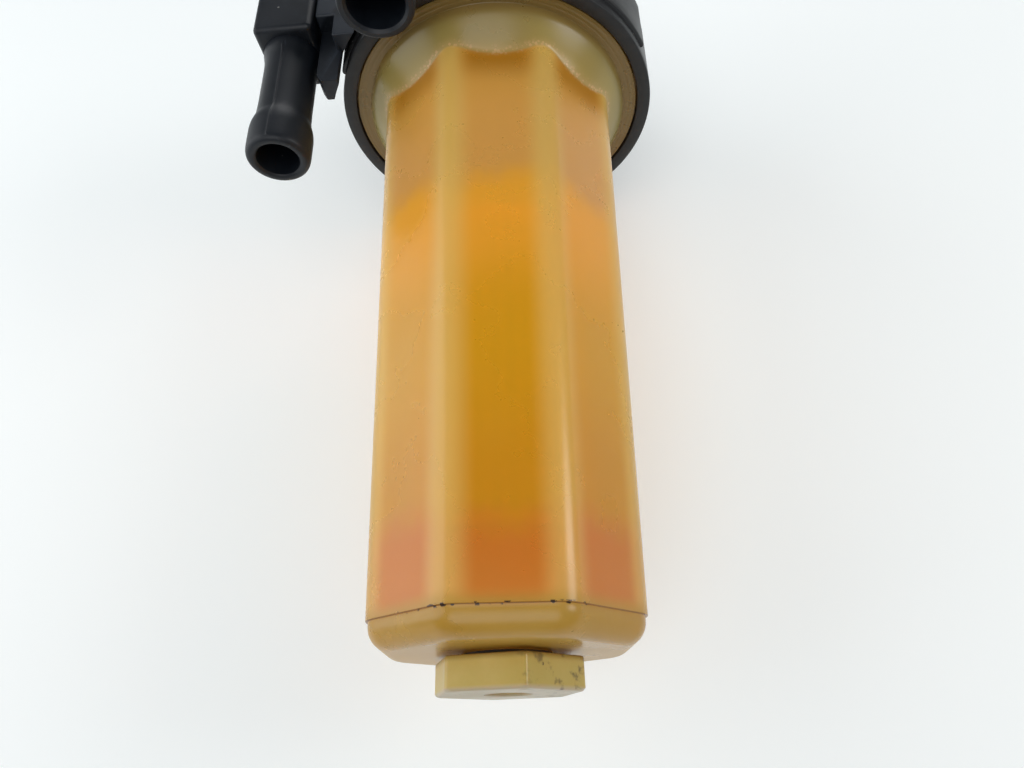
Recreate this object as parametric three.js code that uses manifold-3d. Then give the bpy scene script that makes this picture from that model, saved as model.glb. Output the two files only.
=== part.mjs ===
// Fuel filter and water separator: a translucent octagonal bowl held to a moulded head by a ring nut.
// Millimetres, +Z up. Every piece is drawn about the bowl's axis, with z = 0 at the drain plug's underside.
// The exported group is shifted so that the origin is the middle of the bracket's mounting face.
import * as THREE from 'three';
import { mergeVertices } from 'three/addons/utils/BufferGeometryUtils.js';
import Module from 'manifold-3d';

const wasm = await Module();
wasm.setup();

// ---- driving dimensions ----
const GAP = 0.3;             // clearance between pieces that touch
const ROUND = 48;            // facets round the large turned pieces
const SMALL_ROUND = 20;      // facets round the small ones

// drain plug
const PLUG_FLATS = 25;       // wrench size of the hexagon
const PLUG_HEIGHT = 5.9;
const PLUG_TURN = 0.299;     // how far the hexagon has been turned, in radians
const PLUG_STEM_R = 5;
const PLUG_RECESS_R = 4.25;
const PLUG_RECESS_DEPTH = 3;
const DRAIN_SEAL_T = 1.8;
const DRAIN_SEAL_OUTER = 8.2;

// bowl
const FOOT_LIFT = 0.9;       // the bowl's underside above the hexagon
const BOWL_FOOT_H = 5;       // underside to the moulding line
const BOWL_FLATS = 50.2;     // across the flats at the moulding line
const BOWL_TAPER = 0.0185;   // growth of the half width for each mm of height
const BOWL_TURN = 0.0925;    // how far the octagon is turned from facing the front, in radians
const BOWL_CORNER = 6;
const BOWL_WALL = 2.4;
const BOWL_FLOOR = 5.8;
const BOWL_LIP = 0.45;       // the walls overhang the foot by this at the moulding line
const FOOT_ROUND = 4.2;
const DRAIN_BOSS_R = 8.6;
const DRAIN_BOSS_H = 4;
const PLUG_STEM_OVER = 1.4;   // the plug's stem stands this far above the boss inside the bowl
const SHOULDER_DROP = 10.3;   // the round shoulder leaves the walls this far below the nut
const RIM_RISE = 6.4;        // the bowl's rim above the nut's underside
const FLANGE_WIDTH = 8.2;    // the rim's flat ring, from the neck out
const FLANGE_STEP = 1.5;     // the flange inside the nut's mouth is smaller than its rim by this
const FLANGE_RIM_R = 37.7;
const BOWL_SEAL_D = 2.4;

// ring nut
const NUT_BOTTOM = 141.8;    // height of the nut's underside, so the length of the bowl
const NUT_HEIGHT = 18;
const NUT_WALL = 1.9;
const NUT_LIP_T = 1.8;
const NUT_RIB = 1.4;         // how far the grip ribs stand out
const NUT_PAD_ANGLES = [-51.5, 51.5, 180];
const NUT_PAD_WIDTH = 33;
const NUT_RIB_ANGLES = [-160, -131, -102.5, 0, 102.5, 131, 160];
const NUT_RIB_WIDTH = 6;
const WASHER_T = 0.6;

// head
const HEAD_WALL = 6.7;        // round the cavity under the dome
const ROOF_RISE = 8.2;       // the cavity's roof above the nut
const ROOF_T = 8.8;
const NUT_ROOM = 0.5;        // everything beside the nut stays this far outside its ribs
const PORT_ANGLE = -1.9888;   // round from the right, in radians
const PORT_R = 8.05;
const PORT_BORE = 6.1;
const PORT_DROP = 14.4;       // the port's mouth below the nut's underside
const PASSAGE_R = 3.2;
const STEM_BOSS_R = 11;
const STEM_BOSS_H = 10;

// inlet elbow
const BARB_ANGLE = -2.7476;   // round from the right, in radians
const BARB_OUT = 10.83;       // the barb's axis outside the room that the nut needs
const BARB_DROP = 29.3;       // the barb's mouth below the nut's underside
const BARB_BULB_R = 7.3;
const BARB_BULB_LENGTH = 12;
const BARB_NECK_R = 6.3;
const BARB_ROOT_R = 6.9;
const BARB_BORE = 4.9;
const BLOCK_RISE = 3.7;       // the block's underside above the nut's
const BLOCK_OVER = 13;       // the block's top above the roof of the cavity
const BLOCK_HALF_WIDTH = 7.2;
const BLOCK_HALF_DEPTH = 8.8;
const SPIGOT_R = 6.2;
const SPIGOT_LENGTH = 7;
const ELBOW_SEAL_D = 1.8;
const ELBOW_SCREW_R = 1.9;

// standpipe and filter element
const PIPE_R = 6;
const PIPE_BORE = 4;
const PIPE_GRIP = 3.3;        // how far the standpipe reaches into the element
const PIPE_COLLAR_R = 8.5;
const ELEMENT_LIFT = 13.4;    // the element above the bowl's floor
const ELEMENT_LENGTH = 70.8;
const CAP_T = 2.6;
const CAP_NECK_R = 10.4;
const CAP_NECK_H = 3.9;
const GROMMET_WALL = 1.6;
const PLEATS = 30;
const PLEAT_DEPTH = 5.6;
const CORE_ROOM = 1.6;        // between the core and the pleats
const CORE_WALL = 1;
const SPRING_ROOM = 2;        // the wire's middle outside the drain boss
const SPRING_WIRE = 1.3;
const SPRING_TURNS = 3.25;

// float
const FLOAT_ROOM = 0.8;       // between the float and the bowl's wall
const FLOAT_WALL = 2.7;
const ELEMENT_ROOM = 1.1;     // between the element and the float
const FLOAT_HEIGHT = 12;

// bleed screw
const BLEED_AT = [11, -14];
const BLEED_BOSS_R = 7;
const BLEED_BOSS_RISE = 13;   // above the roof of the cavity
const BLEED_STEM_R = 3;
const BLEED_SEAL_T = 1.5;
const BLEED_KNOB_R = 7.5;
const BLEED_KNOB_H = 9;

// bracket and its bolts
const BRACKET_T = 3;
const BRACKET_WIDTH = 52;
const BRACKET_FRONT = 3;
const BRACKET_BACK = 46;
const BRACKET_FLANGE_H = 28;
const BRACKET_BOLT_AT = [[-15, 13], [15, 13]];
const BRACKET_BOSS_R = 7.5;
const BRACKET_BOSS_RISE = 12;
const FRAME_HOLE_R = 4.3;
const FRAME_HOLE_X = 16;
const BOLT_R = 3;
const BOLT_FLATS = 10;
const BOLT_HEAD_H = 4;
const BOLT_WASHER_R = 6;
const BOLT_WASHER_T = 1.2;

// ---- places that follow from them ----
const footZ = PLUG_HEIGHT + FOOT_LIFT;
const partingZ = footZ + BOWL_FOOT_H;
const floorZ = footZ + BOWL_FLOOR;
const drainBossZ = floorZ + DRAIN_BOSS_H;
const bowlHalf = BOWL_FLATS / 2;
const bowlInner = bowlHalf - BOWL_WALL;
const shoulderZ = NUT_BOTTOM - SHOULDER_DROP;
const neckZ = NUT_BOTTOM + RIM_RISE;
const neckInner = FLANGE_RIM_R - FLANGE_WIDTH;
const flangeR = FLANGE_RIM_R - FLANGE_STEP;
const nutMouth = flangeR + GAP + 0.1;
const nutTop = NUT_BOTTOM + NUT_HEIGHT;
const nutInner = FLANGE_RIM_R + GAP;
const nutOuter = nutInner + NUT_WALL;
const nutClear = nutOuter + NUT_RIB + NUT_ROOM;
const washerZ = NUT_BOTTOM + NUT_LIP_T + GAP;
const flangeRimZ = washerZ + WASHER_T + GAP;
const sealGrooveZ = neckZ - 0.75 * BOWL_SEAL_D;
const sealR = neckInner + FLANGE_WIDTH / 2 - 0.2;
const headBottom = sealGrooveZ + BOWL_SEAL_D + 2 * GAP;
const headShelf = nutTop + 0.5;
const headInner = FLANGE_RIM_R - HEAD_WALL;
const headRim = nutOuter - GAP;
const roofZ = nutTop + ROOF_RISE;
const domeZ = roofZ + ROOF_T;
const passageZ = roofZ + 4.2;
const stemBossZ = roofZ - STEM_BOSS_H;
const portReach = nutClear + PORT_R + 0.15;
const portAt = [portReach * Math.cos(PORT_ANGLE), portReach * Math.sin(PORT_ANGLE)];
const portMouth = NUT_BOTTOM - PORT_DROP;
const barbMouth = NUT_BOTTOM - BARB_DROP;
const blockBottom = NUT_BOTTOM + BLOCK_RISE;
const blockTop = roofZ + BLOCK_OVER;
const spigotZ = roofZ - 2;
const elbowScrewZ = roofZ + 8.2;
const barbReach = nutClear + BARB_OUT;
const barbAt = [barbReach * Math.cos(BARB_ANGLE), barbReach * Math.sin(BARB_ANGLE)];
const armFace = barbAt[0] + BLOCK_HALF_WIDTH + GAP;   // the flat end of the head's inlet arm
const floatOuter = bowlInner - FLOAT_ROOM;
const floatInner = floatOuter - FLOAT_WALL;
const elementR = floatInner - ELEMENT_ROOM;
const elementBottom = floorZ + ELEMENT_LIFT;
const elementTop = elementBottom + ELEMENT_LENGTH;
const coreR = elementR - 0.6 - PLEAT_DEPTH - CORE_ROOM;
const springR = DRAIN_BOSS_R + SPRING_ROOM + SPRING_WIRE / 2;
const pipeBottom = elementTop - PIPE_GRIP;
const pipeTop = roofZ - 1;
const pipeSealZ = pipeTop - 3.8;
const bleedBossZ = roofZ + BLEED_BOSS_RISE;
const bleedSeat = bleedBossZ + GAP + BLEED_SEAL_T + GAP;
const bracketBossZ = roofZ + BRACKET_BOSS_RISE;
const bracketZ = bracketBossZ + GAP;
const frameHoleZ = bracketZ + BRACKET_FLANGE_H - 11;

// ---- solids ----
function solid(geometry) {
  const bare = geometry.clone();
  for (const name of Object.keys(bare.attributes)) if (name !== 'position') bare.deleteAttribute(name);
  const merged = mergeVertices(bare, 1e-4);
  const index = merged.index.array;
  const triVerts = [];
  for (let i = 0; i < index.length; i += 3) {
    const [a, b, c] = [index[i], index[i + 1], index[i + 2]];
    if (a !== b && b !== c && c !== a) triVerts.push(a, b, c);
  }
  const vertProperties = new Float32Array(merged.attributes.position.array);
  return new wasm.Manifold(new wasm.Mesh({ numProp: 3, vertProperties, triVerts: new Uint32Array(triVerts) }));
}

function surface(shape) {
  const { vertProperties, triVerts } = shape.getMesh();
  const geometry = new THREE.BufferGeometry();
  geometry.setAttribute('position', new THREE.BufferAttribute(vertProperties, 3));
  geometry.setIndex(new THREE.BufferAttribute(triVerts, 1));
  geometry.computeVertexNormals();
  return geometry;
}

// A turned solid from [radius, z] points that run up the outside. It is closed on itself or starts and ends on the axis.
function turned(points, facets = ROUND, at = [0, 0]) {
  const onAxis = points[0][0] === 0 && points.at(-1)[0] === 0;
  const profile = onAxis ? points : [...points, points[0]];
  const geometry = new THREE.LatheGeometry(profile.map(([r, z]) => new THREE.Vector2(r, z)), facets);
  return solid(geometry.rotateX(Math.PI / 2).translate(at[0], at[1], 0));
}

const tube = (outer, inner, z0, z1, facets, at) =>
  turned([[inner, z0], [outer, z0], [outer, z1], [inner, z1]], facets, at);

const rod = (r, z0, z1, facets = SMALL_ROUND, at = [0, 0]) =>
  turned([[0, z0], [r, z0], [r, z1], [0, z1]], facets, at);

function torus(ringR, wireR, z, facets = ROUND, wireFacets = 8, at = [0, 0]) {
  return solid(new THREE.TorusGeometry(ringR, wireR, wireFacets, facets).translate(at[0], at[1], z));
}

// A round bar between two points.
function bar(from, to, r, facets = SMALL_ROUND) {
  const a = new THREE.Vector3(...from);
  const b = new THREE.Vector3(...to);
  const geometry = new THREE.CylinderGeometry(r, r, a.distanceTo(b), facets);
  const turn = new THREE.Quaternion().setFromUnitVectors(new THREE.Vector3(0, 1, 0), b.clone().sub(a).normalize());
  const middle = a.add(b).multiplyScalar(0.5);
  return solid(geometry.applyQuaternion(turn).translate(middle.x, middle.y, middle.z));
}

function box(x0, x1, y0, y1, z0, z1) {
  const geometry = new THREE.BoxGeometry(x1 - x0, y1 - y0, z1 - z0);
  return solid(geometry.translate((x0 + x1) / 2, (y0 + y1) / 2, (z0 + z1) / 2));
}

// A regular polygon, by its half width across the flats, with rounded corners and its first flat facing +X.
function polygon(sides, half, corner, turn = 0) {
  const step = 2 * Math.PI / sides;
  const reach = (half - corner) / Math.cos(step / 2);
  const shape = new THREE.Shape();
  for (let k = 0; k < sides; k++) {
    const a = step * (k + 0.5) + turn;
    if (corner > 0) shape.absarc(reach * Math.cos(a), reach * Math.sin(a), corner, a - step / 2, a + step / 2);
    else if (k) shape.lineTo(reach * Math.cos(a), reach * Math.sin(a));
    else shape.moveTo(reach * Math.cos(a), reach * Math.sin(a));
  }
  shape.closePath();
  return shape;
}

function roundedRect(x0, x1, y0, y1, r) {
  const shape = new THREE.Shape();
  shape.absarc(x1 - r, y1 - r, r, 0, Math.PI / 2);
  shape.absarc(x0 + r, y1 - r, r, Math.PI / 2, Math.PI);
  shape.absarc(x0 + r, y0 + r, r, Math.PI, 1.5 * Math.PI);
  shape.absarc(x1 - r, y0 + r, r, 1.5 * Math.PI, 2 * Math.PI);
  shape.closePath();
  return shape;
}

function prism(shape, z0, z1, curveSegments = 2) {
  const geometry = new THREE.ExtrudeGeometry(shape, { depth: z1 - z0, bevelEnabled: false, curveSegments });
  return solid(geometry.translate(0, 0, z0));
}

// An octagonal prism whose half width is `half` at the moulding line and grows with height.
function taperedOctagon(half, corner, z0, z1) {
  const shape = polygon(8, half, corner, BOWL_TURN);
  const geometry = new THREE.ExtrudeGeometry(shape, { depth: z1 - z0, bevelEnabled: false, curveSegments: 2 });
  geometry.translate(0, 0, z0);
  const p = geometry.attributes.position;
  for (let i = 0; i < p.count; i++) {
    const grow = 1 + BOWL_TAPER * (p.getZ(i) - partingZ) / bowlHalf;
    p.setXY(i, p.getX(i) * grow, p.getY(i) * grow);
  }
  return solid(geometry);
}

// A hexagonal head with its two rims chamfered.
function hexHead(flats, z0, z1, chamfer, turn = 0, at = [0, 0]) {
  const corner = flats / 2 / Math.cos(Math.PI / 6);
  const shape = prism(polygon(6, flats / 2, 0, turn), z0, z1);
  const rims = turned([
    [0, z0], [corner - chamfer, z0], [corner + 0.1, z0 + chamfer], [corner + 0.1, z1 - chamfer],
    [corner - chamfer, z1], [0, z1],
  ], 36);
  const cut = shape.intersect(rims);
  return at[0] || at[1] ? cut.translate([at[0], at[1], 0]) : cut;
}

// ---- pieces ----
const moulded = { color: 0x1f2124, roughness: 0.52, metalness: 0 };
const nylon = { color: 0xc9a24e, roughness: 0.32, metalness: 0, transparent: true, opacity: 0.75 };
const plugNylon = { color: 0xa8985a, roughness: 0.45, metalness: 0 };
const rubber = { color: 0x141414, roughness: 0.8, metalness: 0 };
const steel = { color: 0x9a9c9e, roughness: 0.4, metalness: 0.9 };
const capPlastic = { color: 0xd98a2b, roughness: 0.5, metalness: 0 };
const paper = { color: 0xe09a36, roughness: 0.9, metalness: 0 };
const redFloat = { color: 0xc8392b, roughness: 0.45, metalness: 0 };

const part = new THREE.Group();
part.position.set(0, -BRACKET_BACK, -frameHoleZ);

function add(name, shape, look) {
  const mesh = new THREE.Mesh(surface(shape), new THREE.MeshStandardMaterial(look));
  mesh.name = name;
  part.add(mesh);
}

function drainPlug() {
  return hexHead(PLUG_FLATS, 0, PLUG_HEIGHT, 0.9, PLUG_TURN)
    .add(rod(PLUG_STEM_R, PLUG_HEIGHT - 1, drainBossZ + PLUG_STEM_OVER))
    .subtract(rod(PLUG_RECESS_R, -1, PLUG_RECESS_DEPTH));
}

function bowl() {
  const walls = taperedOctagon(bowlHalf, BOWL_CORNER, partingZ, NUT_BOTTOM - 1);
  const footHalf = bowlHalf - BOWL_LIP - FOOT_ROUND;
  const footShape = polygon(8, footHalf, BOWL_CORNER - FOOT_ROUND, BOWL_TURN);
  const foot = new THREE.ExtrudeGeometry(footShape, {
    depth: BOWL_FOOT_H - FOOT_ROUND + 1, bevelThickness: FOOT_ROUND, bevelSize: FOOT_ROUND, bevelSegments: 3,
    curveSegments: 2,
  }).translate(0, 0, footZ + FOOT_ROUND);
  const shoulderTop = NUT_BOTTOM + 0.5;
  const root = bowlHalf + 1.4;
  const reach = flangeR - 3.2 - root;
  const flange = turned([
    [0, shoulderZ - 8], [bowlHalf - 4.4, shoulderZ - 8], [root, shoulderZ],
    [root + 0.33 * reach, shoulderZ + 3.3], [root + 0.61 * reach, shoulderZ + 5.7],
    [root + 0.81 * reach, shoulderZ + 7.5], [root + 0.93 * reach, shoulderZ + 8.8], [root + reach, shoulderTop],
    [flangeR, shoulderTop], [flangeR, flangeRimZ], [FLANGE_RIM_R, flangeRimZ], [FLANGE_RIM_R, neckZ], [0, neckZ],
  ]);
  const cavity = taperedOctagon(bowlInner, BOWL_CORNER - BOWL_WALL, floorZ, shoulderZ + 5.5);
  const neck = turned([
    [0, shoulderZ - 3.5], [bowlInner - 2, shoulderZ - 3.5], [bowlInner + 2, shoulderZ + 1],
    [0.4 * bowlInner + 0.6 * neckInner + 0.7, shoulderZ + 5], [neckInner, NUT_BOTTOM + 0.2],
    [neckInner, neckZ + 2], [0, neckZ + 2],
  ]);
  const half = BOWL_SEAL_D / 2 + GAP;
  return walls
    .add(solid(foot))
    .add(flange)
    .subtract(cavity.add(neck))
    .subtract(tube(sealR + half, sealR - half, sealGrooveZ, neckZ + 1))
    .add(rod(DRAIN_BOSS_R, floorZ - 1, drainBossZ))
    .subtract(rod(PLUG_STEM_R + GAP, 0, drainBossZ + 1))
    .subtract(rod(DRAIN_SEAL_OUTER + GAP, 0, PLUG_HEIGHT + GAP + DRAIN_SEAL_T + GAP, 28));
}

function ringNut() {
  let nut = turned([
    [nutMouth, NUT_BOTTOM], [nutOuter - 0.4, NUT_BOTTOM], [nutOuter, NUT_BOTTOM + 0.4], [nutOuter, nutTop - 0.5],
    [nutOuter - 0.5, nutTop], [nutInner, nutTop], [nutInner, NUT_BOTTOM + NUT_LIP_T], [nutMouth, NUT_BOTTOM + NUT_LIP_T],
  ], 60);
  const raised = (middle, width) => {
    const shape = new THREE.Shape();
    const from = (middle - width / 2 - 90) * Math.PI / 180;
    const to = (middle + width / 2 - 90) * Math.PI / 180;
    shape.absarc(0, 0, nutOuter + NUT_RIB, from, to, false);
    shape.absarc(0, 0, nutOuter - 0.5, to, from, true);
    shape.closePath();
    return prism(shape, NUT_BOTTOM + 3, nutTop - 0.6, Math.max(2, Math.round(width / 5)));
  };
  for (const angle of NUT_PAD_ANGLES) nut = nut.add(raised(angle, NUT_PAD_WIDTH));
  for (const angle of NUT_RIB_ANGLES) nut = nut.add(raised(angle, NUT_RIB_WIDTH));
  return nut;
}

// The web beside the nut, the shelf over it and the arm that takes the elbow, all kept clear of the turning nut.
function inletArm() {
  const low = NUT_BOTTOM + 8.2;
  const front = barbAt[1] - 7.8;
  const arm = box(armFace, -24, front, barbAt[1] + BLOCK_HALF_DEPTH, low, blockTop);
  const face = box(armFace + 4.7, -24, front, front + 8, low - 7, low + 2);
  const web = prism(new THREE.Shape([
    new THREE.Vector2(armFace + 1.5, low - 16.7), new THREE.Vector2(armFace + 5.5, low - 16.7),
    new THREE.Vector2(armFace + 6.5, low + 2), new THREE.Vector2(armFace + 0.3, low + 2),
    new THREE.Vector2(armFace + 0.3, low - 14.5),
  ]), -3, 3).rotate([90, 0, 0]).translate([0, barbAt[1] - 0.3, 0]);
  const rim = rod(headRim, headShelf, roofZ, ROUND);
  const beside = rod(nutClear, low - 30, headShelf, ROUND);
  return arm.add(face).add(web).subtract(beside).subtract(rim);
}

function filterHead() {
  const [px, py] = portAt;
  const dome = turned([
    [0, roofZ], [headInner, roofZ], [headInner, headBottom], [FLANGE_RIM_R, headBottom],
    [FLANGE_RIM_R, headShelf], [headRim, headShelf], [headRim, roofZ - 1.5], [headRim - 1.2, roofZ + 2.5],
    [headRim - 4.6, domeZ - 3], [headRim - 10.6, domeZ - 0.8], [0, domeZ],
  ], 60);
  const bridge = solid(new THREE.BoxGeometry(portReach - headInner, 11, 15)
    .translate((portReach + headInner) / 2, 0, headShelf + 7.7)
    .rotateZ(PORT_ANGLE));
  const seat = barbAt[1];
  let head = dome
    .add(rod(STEM_BOSS_R, stemBossZ, roofZ + 2, 36))
    .add(rod(PORT_R, portMouth, domeZ - 1.2, 24, portAt))
    .add(bridge)
    .add(inletArm())
    .add(rod(BLEED_BOSS_R, roofZ + 4, bleedBossZ, SMALL_ROUND, BLEED_AT));
  for (const at of BRACKET_BOLT_AT) head = head.add(rod(BRACKET_BOSS_R, roofZ + 2, bracketBossZ, SMALL_ROUND, at));
  head = head
    .subtract(rod(PORT_BORE, portMouth - 1, passageZ + 1, 24, portAt))
    .subtract(bar([px, py, passageZ], [0, 0, passageZ], PASSAGE_R, 16))
    .subtract(rod(PIPE_BORE, stemBossZ - 1, passageZ, 20))
    .subtract(rod(PIPE_COLLAR_R + GAP, stemBossZ - 1, pipeTop + GAP, SMALL_ROUND))
    .subtract(bar([armFace - 1, seat, spigotZ], [armFace + SPIGOT_LENGTH + 1, seat, spigotZ], SPIGOT_R + GAP))
    .subtract(bar([armFace, seat, spigotZ], [-20, seat, spigotZ], 1.9 + 1, 16))
    .subtract(bar([armFace - 1, seat, elbowScrewZ], [armFace + 9, seat, elbowScrewZ], ELBOW_SCREW_R + GAP, 16))
    .subtract(rod(BLEED_STEM_R + GAP, roofZ - 1, bleedBossZ + 1, 20, BLEED_AT));
  for (const at of BRACKET_BOLT_AT) head = head.subtract(rod(BOLT_R + GAP, roofZ + 3.5, bracketBossZ + 1, 20, at));
  return head;
}

function inletElbow() {
  const [x, y] = barbAt;
  const barb = turned([
    [0, barbMouth], [BARB_BULB_R - 0.9, barbMouth], [BARB_BULB_R - 0.25, barbMouth + 0.6],
    [BARB_BULB_R, barbMouth + 2], [BARB_BULB_R, barbMouth + 7.5], [BARB_BULB_R - 0.3, barbMouth + 9.5],
    [BARB_NECK_R, barbMouth + BARB_BULB_LENGTH], [BARB_ROOT_R - 0.7, blockBottom - 4],
    [BARB_ROOT_R, blockBottom - 0.6], [BARB_ROOT_R, blockBottom + 2], [0, blockBottom + 2],
  ], 24, barbAt);
  const right = armFace - GAP;
  const outline = roundedRect(x - BLOCK_HALF_WIDTH, right, y - BLOCK_HALF_DEPTH, y + BLOCK_HALF_DEPTH, 1.6);
  return prism(outline, blockBottom, blockTop)
    .add(barb)
    .add(bar([x, y, spigotZ], [right + SPIGOT_LENGTH, y, spigotZ], SPIGOT_R))
    .subtract(ringGroove(right + SPIGOT_LENGTH - 3.4))
    .subtract(rod(BARB_BORE, barbMouth - 1, spigotZ + 2, 20, barbAt))
    .subtract(bar([x, y, spigotZ], [right + SPIGOT_LENGTH + 1, y, spigotZ], 3.4, 20))
    .subtract(bar([x - 9, y, elbowScrewZ], [right + 1, y, elbowScrewZ], ELBOW_SCREW_R + GAP, 16))
    .subtract(bar([x - 9, y, elbowScrewZ], [x + 3, y, elbowScrewZ], 4, 20));
}

// The groove round the spigot that holds the elbow's seal.
function ringGroove(x) {
  const half = ELBOW_SEAL_D / 2 + GAP;
  const outer = bar([x - half, barbAt[1], spigotZ], [x + half, barbAt[1], spigotZ], SPIGOT_R + 1);
  return outer.subtract(bar([x - 5, barbAt[1], spigotZ], [x + 5, barbAt[1], spigotZ], SPIGOT_R - 2));
}

function elbowSeal() {
  const ring = new THREE.TorusGeometry(SPIGOT_R - 0.8, ELBOW_SEAL_D / 2, 8, 20).rotateY(Math.PI / 2);
  return solid(ring.translate(armFace - GAP + SPIGOT_LENGTH - 3.4, barbAt[1], spigotZ));
}

function elbowScrew() {
  const [x, y] = barbAt;
  return bar([x, y, elbowScrewZ], [x + 2.6, y, elbowScrewZ], 3.5, 20)
    .add(bar([x + 2, y, elbowScrewZ], [armFace + 8, y, elbowScrewZ], ELBOW_SCREW_R, 16))
    .subtract(box(x - 1, x + 1, y - 5, y + 5, elbowScrewZ - 0.5, elbowScrewZ + 0.5))
    .subtract(box(x - 1, x + 1, y - 0.5, y + 0.5, elbowScrewZ - 5, elbowScrewZ + 5));
}

function bracket() {
  const back = BRACKET_BACK;
  const top = bracketZ + BRACKET_T;
  const inner = 2;
  const bend = new THREE.Shape();
  bend.moveTo(BRACKET_FRONT, bracketZ);
  bend.lineTo(back - inner - BRACKET_T, bracketZ);
  bend.absarc(back - inner - BRACKET_T, top + inner, inner + BRACKET_T, -Math.PI / 2, 0);
  bend.lineTo(back, bracketZ + BRACKET_FLANGE_H);
  bend.lineTo(back - BRACKET_T, bracketZ + BRACKET_FLANGE_H);
  bend.absarc(back - inner - BRACKET_T, top + inner, inner, 0, -Math.PI / 2, true);
  bend.lineTo(BRACKET_FRONT, top);
  bend.closePath();
  const half = BRACKET_WIDTH / 2;
  const strip = prism(bend, -half, half, 3).rotate([90, 0, 0]).rotate([0, 0, 90]);
  const plan = prism(roundedRect(-half, half, BRACKET_FRONT, back + 20, 8), bracketZ - 5, bracketZ + 60, 3);
  const front = prism(roundedRect(-half, half, bracketZ - 20, bracketZ + BRACKET_FLANGE_H, 8), -back - 5, 0, 3)
    .rotate([90, 0, 0]);
  let plate = strip.intersect(plan).intersect(front);
  for (const at of BRACKET_BOLT_AT) plate = plate.subtract(rod(BOLT_R + 2 * GAP, bracketZ - 1, top + 1, 20, at));
  for (const x of [-FRAME_HOLE_X, FRAME_HOLE_X]) {
    plate = plate.subtract(bar([x, back - 10, frameHoleZ], [x, back + 5, frameHoleZ], FRAME_HOLE_R, 24));
  }
  return plate;
}

function bracketBolt(at) {
  const seat = bracketZ + BRACKET_T + GAP + BOLT_WASHER_T + GAP;
  return hexHead(BOLT_FLATS, seat, seat + BOLT_HEAD_H, 0.5, 0.2, at).add(rod(BOLT_R, roofZ + 4, seat + 1, 20, at));
}

function bleedScrew() {
  const seat = bleedSeat;
  const top = seat + BLEED_KNOB_H;
  let knob = turned([
    [0, seat], [BLEED_KNOB_R - 0.6, seat], [BLEED_KNOB_R, seat + 0.8], [BLEED_KNOB_R, top - 1.2],
    [BLEED_KNOB_R - 1.2, top], [0, top],
  ], 24, BLEED_AT).add(rod(BLEED_STEM_R, roofZ + 1.5, seat + 1, 20, BLEED_AT));
  for (let k = 0; k < 8; k++) {
    const a = k * Math.PI / 4;
    const at = [BLEED_AT[0] + (BLEED_KNOB_R + 0.6) * Math.cos(a), BLEED_AT[1] + (BLEED_KNOB_R + 0.6) * Math.sin(a)];
    knob = knob.subtract(rod(1.5, seat - 1, top + 1, 8, at));
  }
  return knob;
}

function bleedSeal() {
  const low = bleedBossZ + GAP;
  return tube(BLEED_STEM_R + 2.6, BLEED_STEM_R + GAP, low, low + BLEED_SEAL_T, SMALL_ROUND, BLEED_AT);
}

function drainSeal() {
  const low = PLUG_HEIGHT + GAP;
  return tube(DRAIN_SEAL_OUTER, PLUG_STEM_R + GAP, low, low + DRAIN_SEAL_T, 28);
}

function standpipe() {
  return turned([
    [PIPE_BORE, pipeBottom], [PIPE_R - 0.8, pipeBottom], [PIPE_R, pipeBottom + 1.2], [PIPE_R, stemBossZ - 5],
    [PIPE_COLLAR_R + 1, stemBossZ - 4], [PIPE_COLLAR_R + 1, stemBossZ - GAP], [PIPE_COLLAR_R, stemBossZ - GAP],
    [PIPE_COLLAR_R, pipeSealZ - 1.2], [PIPE_COLLAR_R - 1.6, pipeSealZ - 1.2],
    [PIPE_COLLAR_R - 1.6, pipeSealZ + 1.2], [PIPE_COLLAR_R, pipeSealZ + 1.2],
    [PIPE_COLLAR_R, pipeTop], [PIPE_BORE, pipeTop],
  ], 24);
}

function pleatedMedia() {
  const inner = coreR + GAP;
  const outer = elementR - 0.6;
  const shape = new THREE.Shape();
  for (let k = 0; k < 2 * PLEATS; k++) {
    const r = k % 2 ? outer : outer - PLEAT_DEPTH;
    const a = k * Math.PI / PLEATS;
    if (k) shape.lineTo(r * Math.cos(a), r * Math.sin(a));
    else shape.moveTo(r * Math.cos(a), r * Math.sin(a));
  }
  shape.closePath();
  const z0 = elementBottom + CAP_T + GAP;
  const z1 = elementTop - CAP_T - GAP;
  return prism(shape, z0, z1).subtract(rod(inner, z0 - 1, z1 + 1, 40));
}

function elementCore() {
  const z0 = elementBottom + CAP_T + GAP;
  const z1 = elementTop - CAP_T - GAP;
  let core = tube(coreR, coreR - CORE_WALL, z0, z1, 20);
  const rows = 3;
  const pitch = (z1 - z0) / rows;
  for (let row = 0; row < rows; row++) {
    const low = z0 + pitch * (row + 0.22);
    const high = z0 + pitch * (row + 0.78);
    core = core.subtract(box(-20, 20, -2.5, 2.5, low, high)).subtract(box(-2.5, 2.5, -20, 20, low, high));
  }
  return core;
}

function topCap() {
  const z0 = elementTop - CAP_T;
  const bore = PIPE_R + GAP + GROMMET_WALL + GAP;
  return turned([
    [bore, z0], [elementR, z0], [elementR, elementTop - 0.5], [elementR - 0.5, elementTop],
    [CAP_NECK_R, elementTop], [CAP_NECK_R, elementTop + CAP_NECK_H], [bore, elementTop + CAP_NECK_H],
  ], 36);
}

function bottomCap() {
  return turned([
    [0, elementBottom], [elementR - 0.5, elementBottom], [elementR, elementBottom + 0.5],
    [elementR, elementBottom + CAP_T], [0, elementBottom + CAP_T],
  ], 36);
}

function grommet() {
  const inner = PIPE_R + GAP;
  return tube(inner + GROMMET_WALL, inner, elementTop - 1.4, elementTop + CAP_NECK_H - 0.2, 32);
}

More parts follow.
